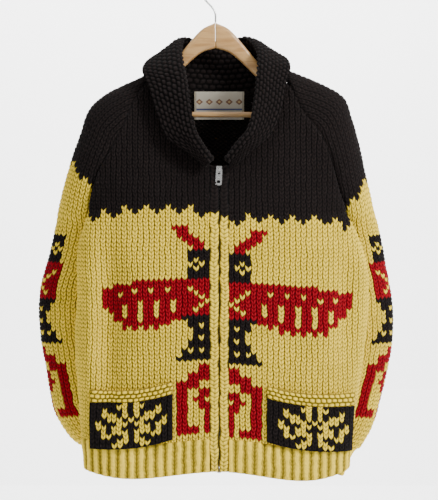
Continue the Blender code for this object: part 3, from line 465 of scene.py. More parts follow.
def totem(wale, row):
    """Half of a tall bird figure that stands on an arch, drawn with a few rules.

    wale counts outward from the figure's middle, row downward from the yoke.
    A lozenge is |w - a| + |n - b| = 1, and a zigzag is w = |n mod 6 - 3|.
    """
    w, n = wale, row
    dye = np.zeros(np.broadcast(w, n).shape, int)

    def lay(mask, colour):
        """Lay one colour over the figure where the mask holds."""
        dye[np.broadcast_to(mask, dye.shape)] = colour

    # The dark head, with a lozenge for its eye.
    lay((n >= 9) & (n < 16) & (w < 4), 1)
    lay(np.abs(w - 2) + np.abs(n - 12) == 1, 0)
    # The red body, with a zigzag down the chest.
    lay((n >= 16) & (n < 25) & (w < 5), 2)
    lay((n > 17) & (n < 24) & (w == np.abs(n % 6 - 3)), 0)
    # The dark tail, which widens both ways from its waist, with rungs of light stitches.
    half = 3 + np.abs(n - 29) // 2
    lay((n >= 25) & (n < 36) & (w < half), 1)
    lay((n > 25) & (n < 35) & (n % 3 == 0) & (w % 2 == 1) & (w < half - 1), 0)
    # The red arch, with a stepped top, an upright leg and a foot turned inward.
    top = 37 + 2 * (w // 2)
    lay((n >= top) & (n < top + 4) & (w < 6), 2)
    lay((n >= top) & (n < 54) & (w > 3) & (w < 6), 2)
    lay((n >= 52) & (n < 54) & (w > 1) & (w < 6), 2)
    # A small lozenge on a post, under the arch.
    lay(np.abs(w - 0.5) + np.abs(n - 45) / 1.5 < 2, 2)
    lay((n == 45) & (w == 0), 0)
    lay((n >= 48) & (n < 54) & (w == 0), 2)
    return dye


SLEEVE_YOKE = {"left": -0.291, "right": -0.318}   # where the crest turns from charcoal to cream
SLEEVE_FIGURE = 5          # rows by which the figure sits higher than on the fronts


def mirrored(wale):
    """Wales counted outward from the middle, from 0 up on both sides."""
    return np.where(wale < 0, -wale - 1, wale)


def make_sleeve(side):
    """One sleeve, its figure centred on the crest below the charcoal yoke."""
    shape = Sleeve(side)
    top = round(shape.crest_row(SLEEVE_YOKE[side]))
    figure = round(shape.crest_row(YOKE + SLEEVE_FIGURE * ROW))

    def dye(wale, row):
        """Charcoal above a toothed line, then the figure on cream."""
        from_crest = mirrored(wale)
        teeth = (from_crest % 2) + (from_crest > 3) * 2 + (from_crest > 7) * 2
        return np.where(row < top + teeth, 1, totem(from_crest, row - figure))

    reach = int(np.ceil(shape.half.max() / WALE))
    obj = cloth("knit_sleeve_" + side, shape.place, (-reach, reach),
                (0, int(np.ceil(shape.row_at[-1]))), dye)
    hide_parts("sleeve_" + side)
    return shape


sleeves = {side: make_sleeve(side) for side in SLEEVES}

# ============================================================ the cuffs
# Each sleeve ends in a close rib of single knit and purl columns, gathered
# in from the wide sleeve, so it holds the wrist.
RIB_WALE = 7.5 * MM
CUFF_LENGTH = 50 * MM
CUFF_PULL = ((0.0, 0.97), (0.12, 0.86), (0.35, 0.80), (1.0, 0.80))


def rib(u, r):
    """Single rib: a raised knit column, then a sunken purl column, from 0 to 1."""
    wave = 0.5 + 0.5 * np.cos(np.pi * (u - 0.5))
    return 0.72 * wave ** 0.8 + 0.28 * plain_knit(u, r)


def all_cream(wale, row):
    """Cream for every stitch."""
    return np.zeros(np.broadcast(wale, row).shape, int)


def make_cuff(side):
    """A ribbed tube that carries on along the sleeve's end; its two ends meet at the back."""
    shape = sleeves[side]
    middle, reach, depth = shape.middle[-1], shape.reach[-1], shape.depth[-1]
    axis = unit(np.cross(reach, (0, 1, 0)))
    axis *= -np.sign(axis[2])
    turn = np.linspace(0, 2 * np.pi, 97)
    ring = reach * np.cos(turn)[:, None] + np.array([0, depth, 0]) * np.sin(turn)[:, None]
    round_length = along(ring)[-1] * CUFF_PULL[-1][1]
    pairs = round(round_length / (2 * RIB_WALE))
    share, pull = np.array(CUFF_PULL).T

    def place(u, v):
        """Points of the tube at wale u round it and row v down it."""
        down = np.clip(v * ROW / CUFF_LENGTH, 0, 1)
        angle = 2 * np.pi * np.clip(u / (2 * pairs), 0.0005, 0.9995)
        size = np.interp(down, share, pull)[..., None]
        spoke = reach * np.cos(angle)[..., None] + np.array([0, depth, 0]) * np.sin(angle)[..., None]
        point = middle + axis * (down * CUFF_LENGTH)[..., None] + size * spoke
        edge = np.minimum(down, 1 - down) * CUFF_LENGTH + 3 * MM
        return point, unit(spoke), edge

    obj = cloth("knit_cuff_" + side, place, (0, 2 * pairs), (0, 8), all_cream, relief=rib)
    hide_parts("cuff_" + side)


for side in SLEEVES:
    make_cuff(side)

# ============================================================ fronts, back and hem ribs
# Two fronts and a back of the same thick wool, sewn to the sleeves along the
# raglan seams and to each other down the sides.  A rib is knitted on below.
# The charcoal yoke meets the cream field in a toothed line of stitches.
ZIP_X = 6 * MM             # the zip hangs a little to the right of the hook
ZIP_TOP = -0.296           # height of the top of the closed zip
HEM = -0.779               # height of the hem at the zip
BAND_OUT = 14.5            # where a front starts, in millimetres out from the zip
FLAT_POWER = 2.6           # how flat the front lies before it turns at the side
# The body below the arms, in millimetres: how far out each side reaches,
# how far forward that side lies, and how far the side seam sits inside it.
BODY_COLUMNS = ("height", "left_x", "right_x", "side_y", "seam_inset", "seam_y")
BODY = (
    (-420, -217, 231, -26, 58, 14),
    (-442, -220, 238, -27, 45, 2),
    (-474, -219, 243, -27, 26, -9),
    (-512, -219, 243, -26, 11, -16),
    (-555, -222, 240, -25, 5, -19),
    (-601, -222, 235, -24, 3, -19),
    (-650, -218, 227, -23, 3, -18),
    (-690, -215, 221, -22, 3, -17),
    (-727, -213, 216, -21, 3, -16),
    (-779, -208, 211, -19, 3, -14),
)
HIP = BODY[-2][0] * MM     # height where the hem ribs start
# The same side of the body above the underarm, where it tucks behind the seam.
ARMPIT = ((-300, -160, 160, -38), (-345, -192, 194, -31), (-372, -202, 207, -28), (-396, -211, 221, -26))
# Middle of the front and of the back at each height, in millimetres.
DEPTH_COLUMNS = ("height", "front_y", "back_y")
DEPTH = (
    (-140, -18, 20),
    (-180, -31, 30),
    (-210, -40, 36),
    (-250, -50, 41),
    (-300, -60, 44),
    (-385, -76, 46),
    (-470, -84, 46),
    (-601, -86, 44),
    (-727, -78, 40),
    (-779, -74, 38),
)
# How far the rows of knitting hang below the level of the zip, in millimetres.
SAG_COLUMNS = ("height", "left_sag", "right_sag")
SAG = (
    (-140, 0, 0),
    (-300, 0, 3),
    (-415, 3, 7),
    (-601, 7, 11),
    (-779, 12, 15),
)
# The V of the front neck, in millimetres out from the zip on each side.
NECK_COLUMNS = ("height", "left_out", "right_out")
NECK = (
    (-135, 100, 87),
    (-156, 96, 84),
    (-178, 78, 72),
    (-205, 63, 61),
    (-236, 50, 50),
    (-266, 36, 36),
    (-296, 14.5, 14.5),
)
BACK_NECK_DIP = 24 * MM    # how far the back neck hangs below its two ends
DIP_FROM, DIP_OVER = -0.21, 0.07       # height where the dip starts, and over how much it grows
NECK_EASE = 6              # millimetres by which the front lies back at the neck
EASE_OVER = 0.15           # height over which it does
ROUND_FROM, ROUND_OVER = -0.26, 0.16   # where the turn round the side starts, and over how much

# Soft hanging folds: where they lie, where they start and end, how wide and
# how deep they are, in millimetres (a negative depth is a ridge).
FOLD_COLUMNS = ("panel", "out", "top", "bottom", "width", "depth")
FOLDS = (
    ("left", 172, -375, -730, 22, 15),
    ("left", 205, -390, -720, 13, -7),
    ("left", 120, -560, -790, 30, 4),
    ("right", 200, -390, -660, 18, 10),
    ("right", 96, -430, -700, 34, 4),
    ("back", -110, -300, -780, 40, 8),
    ("back", 60, -260, -740, 46, 7),
    ("back", 150, -380, -780, 30, 6),
)


def column(table, columns, name):
    """One named column of a table, in metres."""
    return np.array([row[columns.index(name)] for row in table], float) * MM


def table_at(table, columns, name, height):
    """A column of a table of heights, read at any height."""
    return np.interp(-height, -column(table, columns, "height"), column(table, columns, name))


def fold_depth(panel, out, height):
    """How far the hanging folds move a point of a panel towards the inside.

    Each fold is a bell across its width that swells and fades down its length.
    """
    total = np.zeros_like(out)
    for row in FOLDS:
        fold = dict(zip(FOLD_COLUMNS, row))
        if fold["panel"] == panel:
            span = np.clip((fold["top"] * MM - height) / ((fold["top"] - fold["bottom"]) * MM), 0, 1)
            bell = np.exp(-((out - fold["out"] * MM) / (fold["width"] * MM)) ** 2)
            total += fold["depth"] * MM * np.sin(np.pi * span) ** 0.8 * bell
    return total


def row_curve(start, end, side_x, side_y, roundness, sag, panel, count):
    """One row of knitting from the middle of the body out to its edge.

    The row lies flat, then bends back: gently in the yoke and round the side
    below it.  A seam that lies behind the widest point is reached by a tuck.
    """
    share = np.sin(np.linspace(0, np.pi / 2, 90))
    gentle = share ** 2.2
    full = 1 - (1 - share ** FLAT_POWER) ** (1 / FLAT_POWER)
    x = start[0] + (side_x - start[0]) * share
    y = start[1] + (side_y - start[1]) * (gentle * (1 - roundness) + full * roundness)
    if abs(side_x) - abs(end[0]) > 0.5 * MM:
        tuck = np.linspace(0, np.pi / 2, 24)[1:]
        x = np.concatenate([x, side_x + (end[0] - side_x) * np.sin(tuck)])
        y = np.concatenate([y, side_y + (end[1] - side_y) * (1 - np.cos(tuck))])
    out = np.abs(x - ZIP_X)
    across = np.maximum.accumulate(out) / out.max()
    height = start[2] + (end[2] - start[2]) * across ** 3 - sag * np.sin(np.pi * across ** 1.6)
    fade = np.clip(np.sin(np.pi * np.linspace(0, 1, len(x))), 0, 1) ** 0.5
    inward = -1 if panel == "back" else 1
    place = x - ZIP_X if panel == "back" else out
    y = y + inward * fold_depth(panel, place, height) * fade
    return evenly(np.stack([x, y, height], axis=1), count)


def body_side(side, end):
    """The widest point of the body on the level of a seam point."""
    height = end[2]
    if height < BODY[0][0] * MM:
        return (table_at(BODY, BODY_COLUMNS, side + "_x", height),
                table_at(BODY, BODY_COLUMNS, "side_y", height))
    levels = np.array(ARMPIT + (BODY[0][:4],), float) * MM
    wide = np.interp(-height, -levels[:, 0], levels[:, 1 if side == "left" else 2])
    forward = np.interp(-height, -levels[:, 0], levels[:, 3])
    if height > levels[0, 0] or abs(wide) <= abs(end[0]):
        return end[0], end[1]
    return wide, min(forward, end[1])


def edge_line(side, face):
    """A panel's whole outer edge: the raglan seam, then the side seam down to the hem."""
    x = column(BODY, BODY_COLUMNS, side + "_x")
    inset = column(BODY, BODY_COLUMNS, "seam_inset")
    seam = np.stack([x - np.sign(x) * inset, column(BODY, BODY_COLUMNS, "seam_y"),
                     column(BODY, BODY_COLUMNS, "height")], axis=1)
    raglan = sleeves[side].raglan[face]
    lower = smooth(np.concatenate([raglan[-1:], seam]), SMOOTHING)[1:]
    return np.concatenate([raglan, lower])


class Panel:
    """The surface of a front or of the back as a fine grid, read by wale and row."""

    def __init__(self, face):
        self.face = face
        sides = ("left", "right") if face == "back" else (face,)
        halves, lengths = [], []
        edges = [edge_line(side, "back" if face == "back" else "front") for side in sides]
        self.heights = np.mean([edge[:, 2] for edge in edges], axis=0)
        for side, edge in zip(sides, edges):
            rows = []
            for end, height in zip(edge, self.heights):
                rows.append(self.row(side, end, height))
            halves.append(np.array([row for row, _ in rows]))
            lengths.append(np.array([length for _, length in rows]))
        self.middle = len(halves[0][0]) - 1 if face == "back" else 0
        self.grid = halves[0]
        if face == "back":
            self.grid = np.concatenate([halves[0][:, ::-1], halves[1][:, 1:]], axis=1)
        self.lengths = lengths
        if face != "back":
            self.start = np.maximum(np.abs(self.grid[:, 0, 0] - ZIP_X) - BAND_OUT * MM, 0)
        inner = self.grid * (0.6, 0, 1) + (0, -0.01 if face == "back" else 0.01, 0)
        self.normal = outward(self.grid, inner)
        self.level = (YOKE - self.heights) / ROW

    def row(self, side, end, height):
        """One row of the panel's half on one side, and its length."""
        sag = table_at(SAG, SAG_COLUMNS, side + "_sag", height)
        if self.face == "back":
            dip = BACK_NECK_DIP * np.clip((height - DIP_FROM) / DIP_OVER, 0, 1)
            start = (ZIP_X, table_at(DEPTH, DEPTH_COLUMNS, "back_y", height), height - dip)
            return row_curve(start, end, end[0], end[1], 0, sag / 2, "back", 61)
        out = table_at(NECK, NECK_COLUMNS, side + "_out", height)
        ease = np.clip((height - ZIP_TOP) / EASE_OVER, 0, 1) * NECK_EASE * MM
        start = (ZIP_X + HAND[side] * out, table_at(DEPTH, DEPTH_COLUMNS, "front_y", height) + ease, height)
        side_x, side_y = body_side(side, end)
        roundness = np.clip((ROUND_FROM - height) / ROUND_OVER, 0, 1)
        return row_curve(start, end, side_x, side_y, roundness, sag, side, 61)

    def at(self, reach, level):
        """Points, outward directions and edge distances at a length from the row's middle."""
        numbers = np.arange(len(self.level))
        row = np.interp(level, self.level, numbers)
        steps = len(self.grid[0]) - 1 - self.middle
        high = np.interp(row, numbers, self.lengths[-1])
        if self.face == "back":
            low = np.interp(row, numbers, self.lengths[0])
            reach = np.clip(reach, -low + SKIN, high - SKIN)
            column_at = self.middle + np.where(reach < 0, reach / low, reach / high) * steps
            edge = np.minimum(reach + low, high - reach)
        else:
            start = np.interp(row, numbers, self.start)
            reach = np.clip(reach, start + SKIN, start + high - SKIN)
            column_at = (reach - start) / high * steps
            edge = np.minimum(reach - start + np.where(start < MM, 3 * MM, 0), start + high - reach)
        return sample(self.grid, row, column_at), unit(sample(self.normal, row, column_at)), edge

    def strip(self, top, bottom, wale):
        """A place function for the part of the panel between two levels."""
        def place(u, v):
            """Points, outward directions and edge distances at wale u and row v."""
            level = np.clip(v, top, bottom)
            point, normal, edge = self.at(u * wale, level)
            return point, normal, np.minimum(edge, np.minimum(level - top, bottom - level) * ROW + 2 * MM)
        return place


WING_ROOT = 5              # wales from the figure's middle to where a wing starts
WING_TOP, WING_HEM = 16, 25            # its first and last rows at the root
# Rows by which the bird hangs lower on each front, and the wales its wing spans.
BIRDS = {"left": (0, 20), "right": (1, 23)}
BACK_SPAN = 22
YOKE_TEETH = np.array([0, 1, 2, 1])    # rows by which each wale of the yoke hangs lower, in turn


def wing(wale, row, span):
    """A spread wing: a bowed top edge, a row of marks, long feathers and a toothed hem.

    With s from 0 at the root to 1 at the tip, the top is 16 + 3 s^2 and the
    hem is 25 + 2 sin(pi s) - 5 s^5, both in rows.
    """
    share = np.clip((wale - WING_ROOT) / (span - WING_ROOT), 0, 1)
    top = np.floor(WING_TOP + 3 * share ** 2)
    bottom = WING_HEM + 2 * np.sin(np.pi * share) - 5 * share ** 5
    red = (wale >= WING_ROOT) & (wale < span) & (row >= top) & (row < bottom + (wale % 2))
    mark = (row == top + 2) & (wale % 3 == 1)
    feather = (wale % 3 == 0) & (row >= top + 5) & (row < bottom - 1.5)
    return np.where(red & ~((mark | feather) & (wale > WING_ROOT) & (wale < span - 2)), 2, 0)


def crest(wale, row):
    """The red feather that leans out from the head, 0.75 of a wale for each row up."""
    lean = 1.2 + 0.75 * (9 - row)
    return np.where((row >= 3) & (row < 9) & (np.abs(wale + 0.5 - lean) < 1.4), 2, 0)


def bird(wale, row, span):
    """Half of the bird: a wing and the crest, and the upright figure over both."""
    upright = ((wale < WING_ROOT) & (row > 8)) | (row > 27)
    return np.where(upright, totem(wale, row), np.maximum(wing(wale, row, span), crest(wale, row)))


def front_dye(side):
    """The colours of a front: half of the bird beside the zip, with the charcoal yoke over it."""
    low, span = BIRDS[side]

    def dye(wale, row):
        """The yoke's edge lies a row or two off its level here and there, besides its teeth."""
        if side == "right":
            drop = 1 + (wale < 3) * 1 + (wale > 17) * 1 + (wale > 20) * 1
        else:
            drop = (wale > 19) * 1 - ((wale > 2) & (wale < 16)) * 1
        tooth = YOKE_TEETH[(wale + 1) % len(YOKE_TEETH)]
        return np.where(row < drop + tooth - 1, 1, bird(wale, row - low, span))
    return dye


def back_dye(wale, row):
    """The colours of the back: the same bird whole, on both sides of the middle."""
    out = mirrored(wale)
    return np.where(row < (out % 2) - (out > 4) * (out < 18) * 1, 1, bird(out, row, BACK_SPAN))


def make_panel(face):
    """A front or the back with its hem rib, each as one knitted piece."""
    shape = Panel(face)
    name = "back" if face == "back" else "front_" + face
    high = int(np.ceil(max(np.max(shape.lengths[-1] + getattr(shape, "start", 0)), 0) / WALE))
    low = -int(np.ceil(np.max(shape.lengths[0]) / WALE)) if face == "back" else 0
    top, bottom = shape.level[0], shape.level[-1]
    hip = np.interp(HIP, shape.heights[::-1], shape.level[::-1])
    panel = cloth("knit_" + name, shape.strip(top, hip, WALE), (low, high),
                  (int(np.floor(top)), int(np.ceil(hip))), back_dye if face == "back" else front_dye(face))
    rib_high, rib_low = (2 * int(np.ceil(side * WALE / RIB_WALE / 2)) for side in (high, -low))
    hem = cloth("knit_hem_" + name, shape.strip(hip, bottom, RIB_WALE), (-rib_low, rib_high),
                (int(np.floor(hip)), int(np.ceil(bottom))), all_cream, relief=rib, base=1.0 * MM)
    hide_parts(name)
    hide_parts("hem_rib_" + name)
    return shape


panels = {face: make_panel(face) for face in ("left", "right", "back")}

# ============================================================ the front bands
# A narrow rope of thick stitches is knitted up each front edge; the two meet
# over the zip and hide it.
BAND_GAP = 0.3 * MM        # between the zip's middle and each band
BAND_WIDTH = 14 * MM
BAND_SPREAD = 1.2 * MM     # how much wider than that the knitting lies
BAND_LOFT = 2.6 * MM
BAND_ROUND = 1.6 * MM      # how far a band's two edges turn back
BAND_PROUD = 1.8 * MM
DEPTH_LINE = smooth([(0, depth * MM, height * MM) for height, depth, _ in DEPTH], SMOOTHING)


def front_depth(height):
    """The y of the middle of the front at a height."""
    return np.interp(-height, -DEPTH_LINE[:, 2], DEPTH_LINE[:, 1])


def make_band(side):
    """One upright band: a single rope of wide stitches."""
    wide = BAND_WIDTH + BAND_SPREAD
    top, bottom = (YOKE - ZIP_TOP) / ROW, (YOKE - HEM) / ROW
    yoke = 1 if side == "right" else 0

    def place(u, v):
        """Points down the front edge at wale u out from the zip and row v."""
        level = np.clip(v, top, bottom)
        height = YOKE - level * ROW
        out = np.clip(u * wide, 0, wide)
        point = np.stack([ZIP_X + HAND[side] * (BAND_GAP + out), front_depth(height), height], axis=-1)
        point[..., 1] += BAND_ROUND * (2 * out / wide - 1) ** 4
        edge = np.minimum(level - top, bottom - level) * ROW + 2 * MM
        return point, np.broadcast_to((0.0, -1.0, 0.0), point.shape), edge

    obj = cloth("knit_band_" + side, place, (0, 1), (int(np.floor(top)), int(np.ceil(bottom))),
                lambda wale, row: np.where(row < yoke + 0 * wale, 1, 0), base=BAND_PROUD, loft=BAND_LOFT)
    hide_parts("band_" + side)


for side in SLEEVES:
    make_band(side)

# ============================================================ the patch pockets
# A square of knitting sewn on low on each front on three sides, with a band of
# garter stitch along its open top.  A small star of cream stands on charcoal.
# In millimetres: how far out from the zip each one starts and ends, and its
# top and bottom heights at both of those ends.
POCKET_COLUMNS = ("side", "inner", "outer", "top_inner", "top_outer", "bottom_inner", "bottom_outer")
POCKETS = (
    ("left", 73, 206, -636, -650, -727, -743),
    ("right", 75, 218, -643, -655, -731, -747),
)
POCKET_BAND = 19 * MM      # height of the garter band along a pocket's mouth
POCKET_KNIT = 5 * MM
POCKET_AIR = 2.6 * MM      # room behind a pocket, so that it opens
POCKET_LOFT = 3.0 * MM
POCKET_BOW = 7 * MM        # how far a pocket sags in its middle

STAR = (
    ".....#.#.....",
    "....##.##....",
    ".#...#.#...#.",
    ".###.#.#.###.",
    "..###.#.###..",
    "#...##.##...#",
    "##.##...##.##",
    ".#.###.###.#.",
    ".##..#.#..##.",
    "....##.##....",
    "...##...##...",
)


def make_pocket(pocket):
    """The pocket's square and its mouth band, in front of the panel by the pocket's air."""
    side = pocket["side"]
    shape = panels[side]
    inner, wide = (pocket["inner"] - BAND_OUT) * MM, (pocket["outer"] - pocket["inner"]) * MM
    proud = POCKET_KNIT + POCKET_AIR
    tall = (pocket["top_inner"] - pocket["bottom_inner"]) * MM
    band_share = POCKET_BAND / tall

    def strip(top_share, bottom_share, rows):
        """A place function for the stretch of the pocket between two shares of its height."""
        def place(u, v):
            """Points on the panel's own surface, moved out; v runs from 0 to rows."""
            across = np.clip(u * WALE / wide, 0, 1)
            share = top_share + (bottom_share - top_share) * np.clip(v / rows, 0, 1)
            bow = POCKET_BOW * np.sin(np.pi * across ** 0.9)
            top = (pocket["top_inner"] + (pocket["top_outer"] - pocket["top_inner"]) * across) * MM
            low = (pocket["bottom_inner"] + (pocket["bottom_outer"] - pocket["bottom_inner"]) * across) * MM
            height = top + (low - top) * share - bow
            level = (YOKE - height) / ROW
            for _ in range(3):
                point, normal, _ = shape.at(inner + across * wide, level)
                level = level + (point[..., 2] - height) / ROW
            ends = np.minimum(np.clip(v, 0, rows), rows - np.clip(v, 0, rows)) * ROW
            edge = np.minimum(np.minimum(across, 1 - across) * wide + 1 * MM, ends + 2 * MM)
            return point + normal * proud, normal, edge
        return place

    wales = int(np.ceil(wide / WALE))
    rows = round(tall * (1 - band_share) / ROW)
    band_rows = round(POCKET_BAND / ROW)

    def dye(wale, row):
        """The star, read from its chart about the pocket's middle."""
        chart = np.array([[mark == "#" for mark in line] for line in STAR])
        high, broad = chart.shape
        x, y = wale - (wales - broad) // 2, row - (rows - high + 1) // 2
        within = (x >= 0) & (x < broad) & (y >= 0) & (y < high)
        return np.where(within & chart[np.clip(y, 0, high - 1), np.clip(x, 0, broad - 1)], 0, 1)

    body = cloth("knit_pocket_" + side, strip(band_share, 1, rows), (0, wales), (0, rows), dye,
                 loft=POCKET_LOFT, thick=POCKET_KNIT)
    band = cloth("knit_pocket_band_" + side, strip(0, band_share, band_rows), (0, wales), (0, band_rows),
                 all_cream, relief=garter, lean=0, loft=POCKET_LOFT, thick=POCKET_KNIT, base=1 * MM)
    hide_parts("pocket_" + side)
    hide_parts("pocket_band_" + side)
    tall - POCKET_BAND
    "knit_front_" + side
    "knit_front_" + side


for pocket_row in POCKETS:
    make_pocket(dict(zip(POCKET_COLUMNS, pocket_row)))

# ============================================================ the shawl collar
# One long strip of garter stitch is picked up round the whole neck.  It stands
# up inside, rolls over in a soft fold and falls outward to its free edge.
# The collar from the bottom of the left side round the back of the neck to
# the bottom of the right side: x, y and z of its fold and then of its free
# edge, in millimetres.
COLLAR = (
    (-3, -75, -288, -16, -79, -301),
    (-22, -82, -262, -42, -79, -278),
    (-33, -82, -240, -76, -70, -254),
    (-40, -74, -209, -92, -62, -216),
    (-46, -60, -170, -106, -50, -172),
    (-54, -38, -133, -117, -33, -144),
    (-56, -8, -106, -110, 4, -126),
    (-50, 20, -93, -88, 34, -124),
    (-30, 33, -95, -50, 49, -148),
    (0, 39, -98, 0, 54, -158),
    (28, 33, -95, 50, 49, -148),
    (50, 20, -93, 90, 34, -122),
    (66, -8, -108, 112, 4, -121),
    (70, -38, -130, 120, -33, -138),
    (66, -60, -168, 112, -50, -168),
    (60, -74, -206, 104, -62, -212),
    (53, -82, -238, 86, -70, -250),
    (34, -82, -262, 56, -79, -276),
    (15, -75, -288, 28, -79, -303),
)
COLLAR_KNIT = 7 * MM       # garter stitch is thicker than the plain knit
COLLAR_LOFT = 3.6 * MM
COLLAR_ROLL = 9 * MM       # radius of the soft fold along the collar
COLLAR_MEETS = -4 * MM     # the collar's first row is worked into the neck edge
COLLAR_WALE = 9.0 * MM
COLLAR_ROW = 6.0 * MM


def neckline():
    """The line that the collar is knitted on to, from the left of the zip to its right."""
    lines, inward, away = [], [], []
    for side in ("left", "right"):
        shape, cap = panels[side], sleeves[side]
        edge = shape.grid[shape.heights > ZIP_TOP - 2 * MM][::-1]
        over = slice(2, -2, 4)
        top, below = cap.grid[0, over], cap.grid[1, over]
        lines.append(np.concatenate([edge[:, 0], top]))
        inward.append(np.concatenate([np.tile((0.0, 1.0, 0.0), (len(edge), 1)), -cap.normal[0, over]]))
        away.append(np.concatenate([unit(edge[:, 0] - edge[:, 1]), unit(top - below)]))
    top = panels["back"].grid[0, 4:-4:4]
    line = np.concatenate([lines[0], top, lines[1][::-1]])
    deep = np.concatenate([inward[0], np.tile((0.0, -1.0, 0.0), (len(top), 1)), inward[1][::-1]])
    rise = np.concatenate([away[0], np.tile((0.0, 0.0, 1.0), (len(top), 1)), away[1][::-1]])
    return line, deep, rise


def make_collar():
    """The collar as a loft: seam, stand, fold and fall at every step round the neck."""
    table = smooth(np.array(COLLAR, float) * MM, SMOOTHING)
    line, deep, away = neckline()
    length = along(line)
    rows = np.linspace(0, length[-1], len(table))
    seam = line + deep * KNIT * 0.5 + away * COLLAR_MEETS
    seam = np.stack([np.interp(rows, length, seam[:, i]) for i in range(3)], axis=1)
    kernel = np.ones(7) / 7
    padded = np.concatenate([np.repeat(seam[:1], 3, 0), seam, np.repeat(seam[-1:], 3, 0)])
    seam = np.stack([np.convolve(padded[:, i], kernel, "valid") for i in range(3)], axis=1)
    fold, edge = table[:, 0:3], table[:, 3:6]
    rise, fall = unit(fold - seam), unit(fold - edge)
    over = edge - seam - rise * np.sum((edge - seam) * rise, axis=1, keepdims=True)
    over = unit(over) * COLLAR_ROLL
    lift = unit(rise + fall) * COLLAR_ROLL
    near, far, top = fold - over * 0.2, fold + over * 1.2, fold + over * 0.5 + lift * 0.55
    ring = [seam, (seam + near) / 2, near, top, far, far * 0.55 + edge * 0.45 + lift * 0.1, edge]
    grid = smooth(np.array(ring), SMOOTHING).transpose(1, 0, 2)
    hub = seam * 0.25 + edge * 0.45 + top * 0.3
    normal = outward(grid, hub[:, None])
    lengths = along(fold)
    across = np.mean([along(row) for row in grid], axis=0)
    wales, rows_down = int(round(lengths[-1] / COLLAR_WALE)), int(round(across[-1] / COLLAR_ROW))

    def place(u, v):
        """Points at wale u along the collar and row v from its seam to its free edge."""
        at = np.interp(np.clip(u / wales, 0, 1) * lengths[-1], lengths, np.arange(len(lengths)))
        reach = np.clip(v / rows_down, 0, 1) * across[-1]
        down = np.interp(reach, across, np.arange(len(across)))
        ends = np.minimum(np.clip(u, 0, wales), wales - np.clip(u, 0, wales)) * COLLAR_WALE
        side = np.minimum(reach, across[-1] - reach)
        return sample(grid, at, down), unit(sample(normal, at, down)), np.minimum(ends, side) + 2 * MM

    obj = cloth("knit_collar", place, (0, wales), (0, rows_down),
                lambda wale, row: np.ones(np.broadcast(wale, row).shape, int),
                relief=garter, lean=0, loft=COLLAR_LOFT, thick=COLLAR_KNIT)
    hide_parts("collar")


make_collar()

# ============================================================ the wooden hanger
# Two halves of pale wood are glued at the centre under clear varnish; a round
# bar for trousers runs between the arms, and a wire hook is set in the top.
# In millimetres: how far out and how high the middle line of each arm lies,
# and how tall and how deep the arm is there.
HANGER_ARM = (
    (0, -87, 41, 14),
    (22, -96, 37, 15),
    (44, -117, 31, 14),
    (70, -145, 26, 14),
    (100, -169, 23, 17),
    (135, -185, 21, 24),
    (162, -199, 19, 26),
    (180, -211, 12, 26),
)
HANGER_MIDDLE_Y = -3 * MM
WOOD_JOINT = 0.3 * MM      # width of the glued line between the two arms
BAR_RADIUS = 4.5 * MM
BAR_HEIGHT = -0.2137
BAR_REACH = 160 * MM
HOOK_WIRE = 1.5 * MM
HOOK_RADIUS = 20 * MM


def wood_material():
    """Varnished pale wood: long streaks of grain, fine pores and a clear coat."""
    finish, shader, at = start_material("varnished_wood")
    place = at.node("ShaderNodeTexCoord", {}, {}, 3)
    stretched = at.node("ShaderNodeMapping", {}, {"Vector": place, "Scale": (14.0, 160.0, 160.0)})
    grain = at.node("ShaderNodeTexNoise", {}, {"Vector": stretched, "Scale": 1.0, "Detail": 6.0,
                                               "Distortion": 0.6})
    pores = at.node("ShaderNodeMapping", {}, {"Vector": place, "Scale": (60.0, 1500.0, 1500.0)})
    pores = at.node("ShaderNodeTexNoise", {}, {"Vector": pores, "Scale": 1.0, "Detail": 3.0})
    streak = grain.step(0.35, 0.68)
    colour = streak.mix((0.56, 0.33, 0.125, 1), (0.40, 0.205, 0.065, 1))
    colour = (pores.step(0.58, 0.75) * 0.5).mix(colour, (0.25, 0.12, 0.04, 1))
    join(colour, shader, "Base Color")
    join(streak * 0.12 + 0.3, shader, "Roughness")
    bump = at.node("ShaderNodeBump", {}, {"Height": grain * 0.4 + pores, "Strength": 0.15,
                                          "Distance": 0.0003})
    join(bump, shader, "Normal")
    shader.inputs["Coat Weight"].default_value = 0.35
    shader.inputs["Coat Roughness"].default_value = 0.12
    return finish


def steel_material():
    """Bright nickelled steel with faint wipe marks."""
    finish, shader, at = start_material("bright_nickel")
    place = at.node("ShaderNodeTexCoord", {}, {}, 3)
    marks = at.node("ShaderNodeTexNoise", {}, {"Vector": place, "Scale": 700.0, "Detail": 4.0})
    join(marks.mix((0.50, 0.50, 0.49, 1), (0.74, 0.74, 0.72, 1)), shader, "Base Color")
    join(marks * 0.2 + 0.18, shader, "Roughness")
    bump = at.node("ShaderNodeBump", {}, {"Height": marks, "Strength": 0.06, "Distance": 0.0002})
    join(bump, shader, "Normal")
    shader.inputs["Metallic"].default_value = 1.0
    return finish


WOOD, STEEL = wood_material(), steel_material()


def tube(name, rings, finish):
    """A closed solid from rings of points: quads between rings and a fan over each end."""
    count, around = rings.shape[:2]
    index = np.arange(count * around).reshape(count, around)
    following = np.roll(index, -1, axis=1)
    a, b, c, d = index[:-1], following[:-1], following[1:], index[1:]
    sides = np.concatenate([np.stack([a, b, c], -1).reshape(-1, 3), np.stack([a, c, d], -1).reshape(-1, 3)])
    hubs = np.array([count * around, count * around + 1])
    first = np.stack([following[0], index[0], np.full(around, hubs[0])], -1)
    last = np.stack([index[-1], following[-1], np.full(around, hubs[1])], -1)
    points = np.concatenate([rings.reshape(-1, 3), [rings[0].mean(0), rings[-1].mean(0)]])
    triangles = np.concatenate([sides, first, last])
    return build(name, points, facing_out(points, triangles), finish)


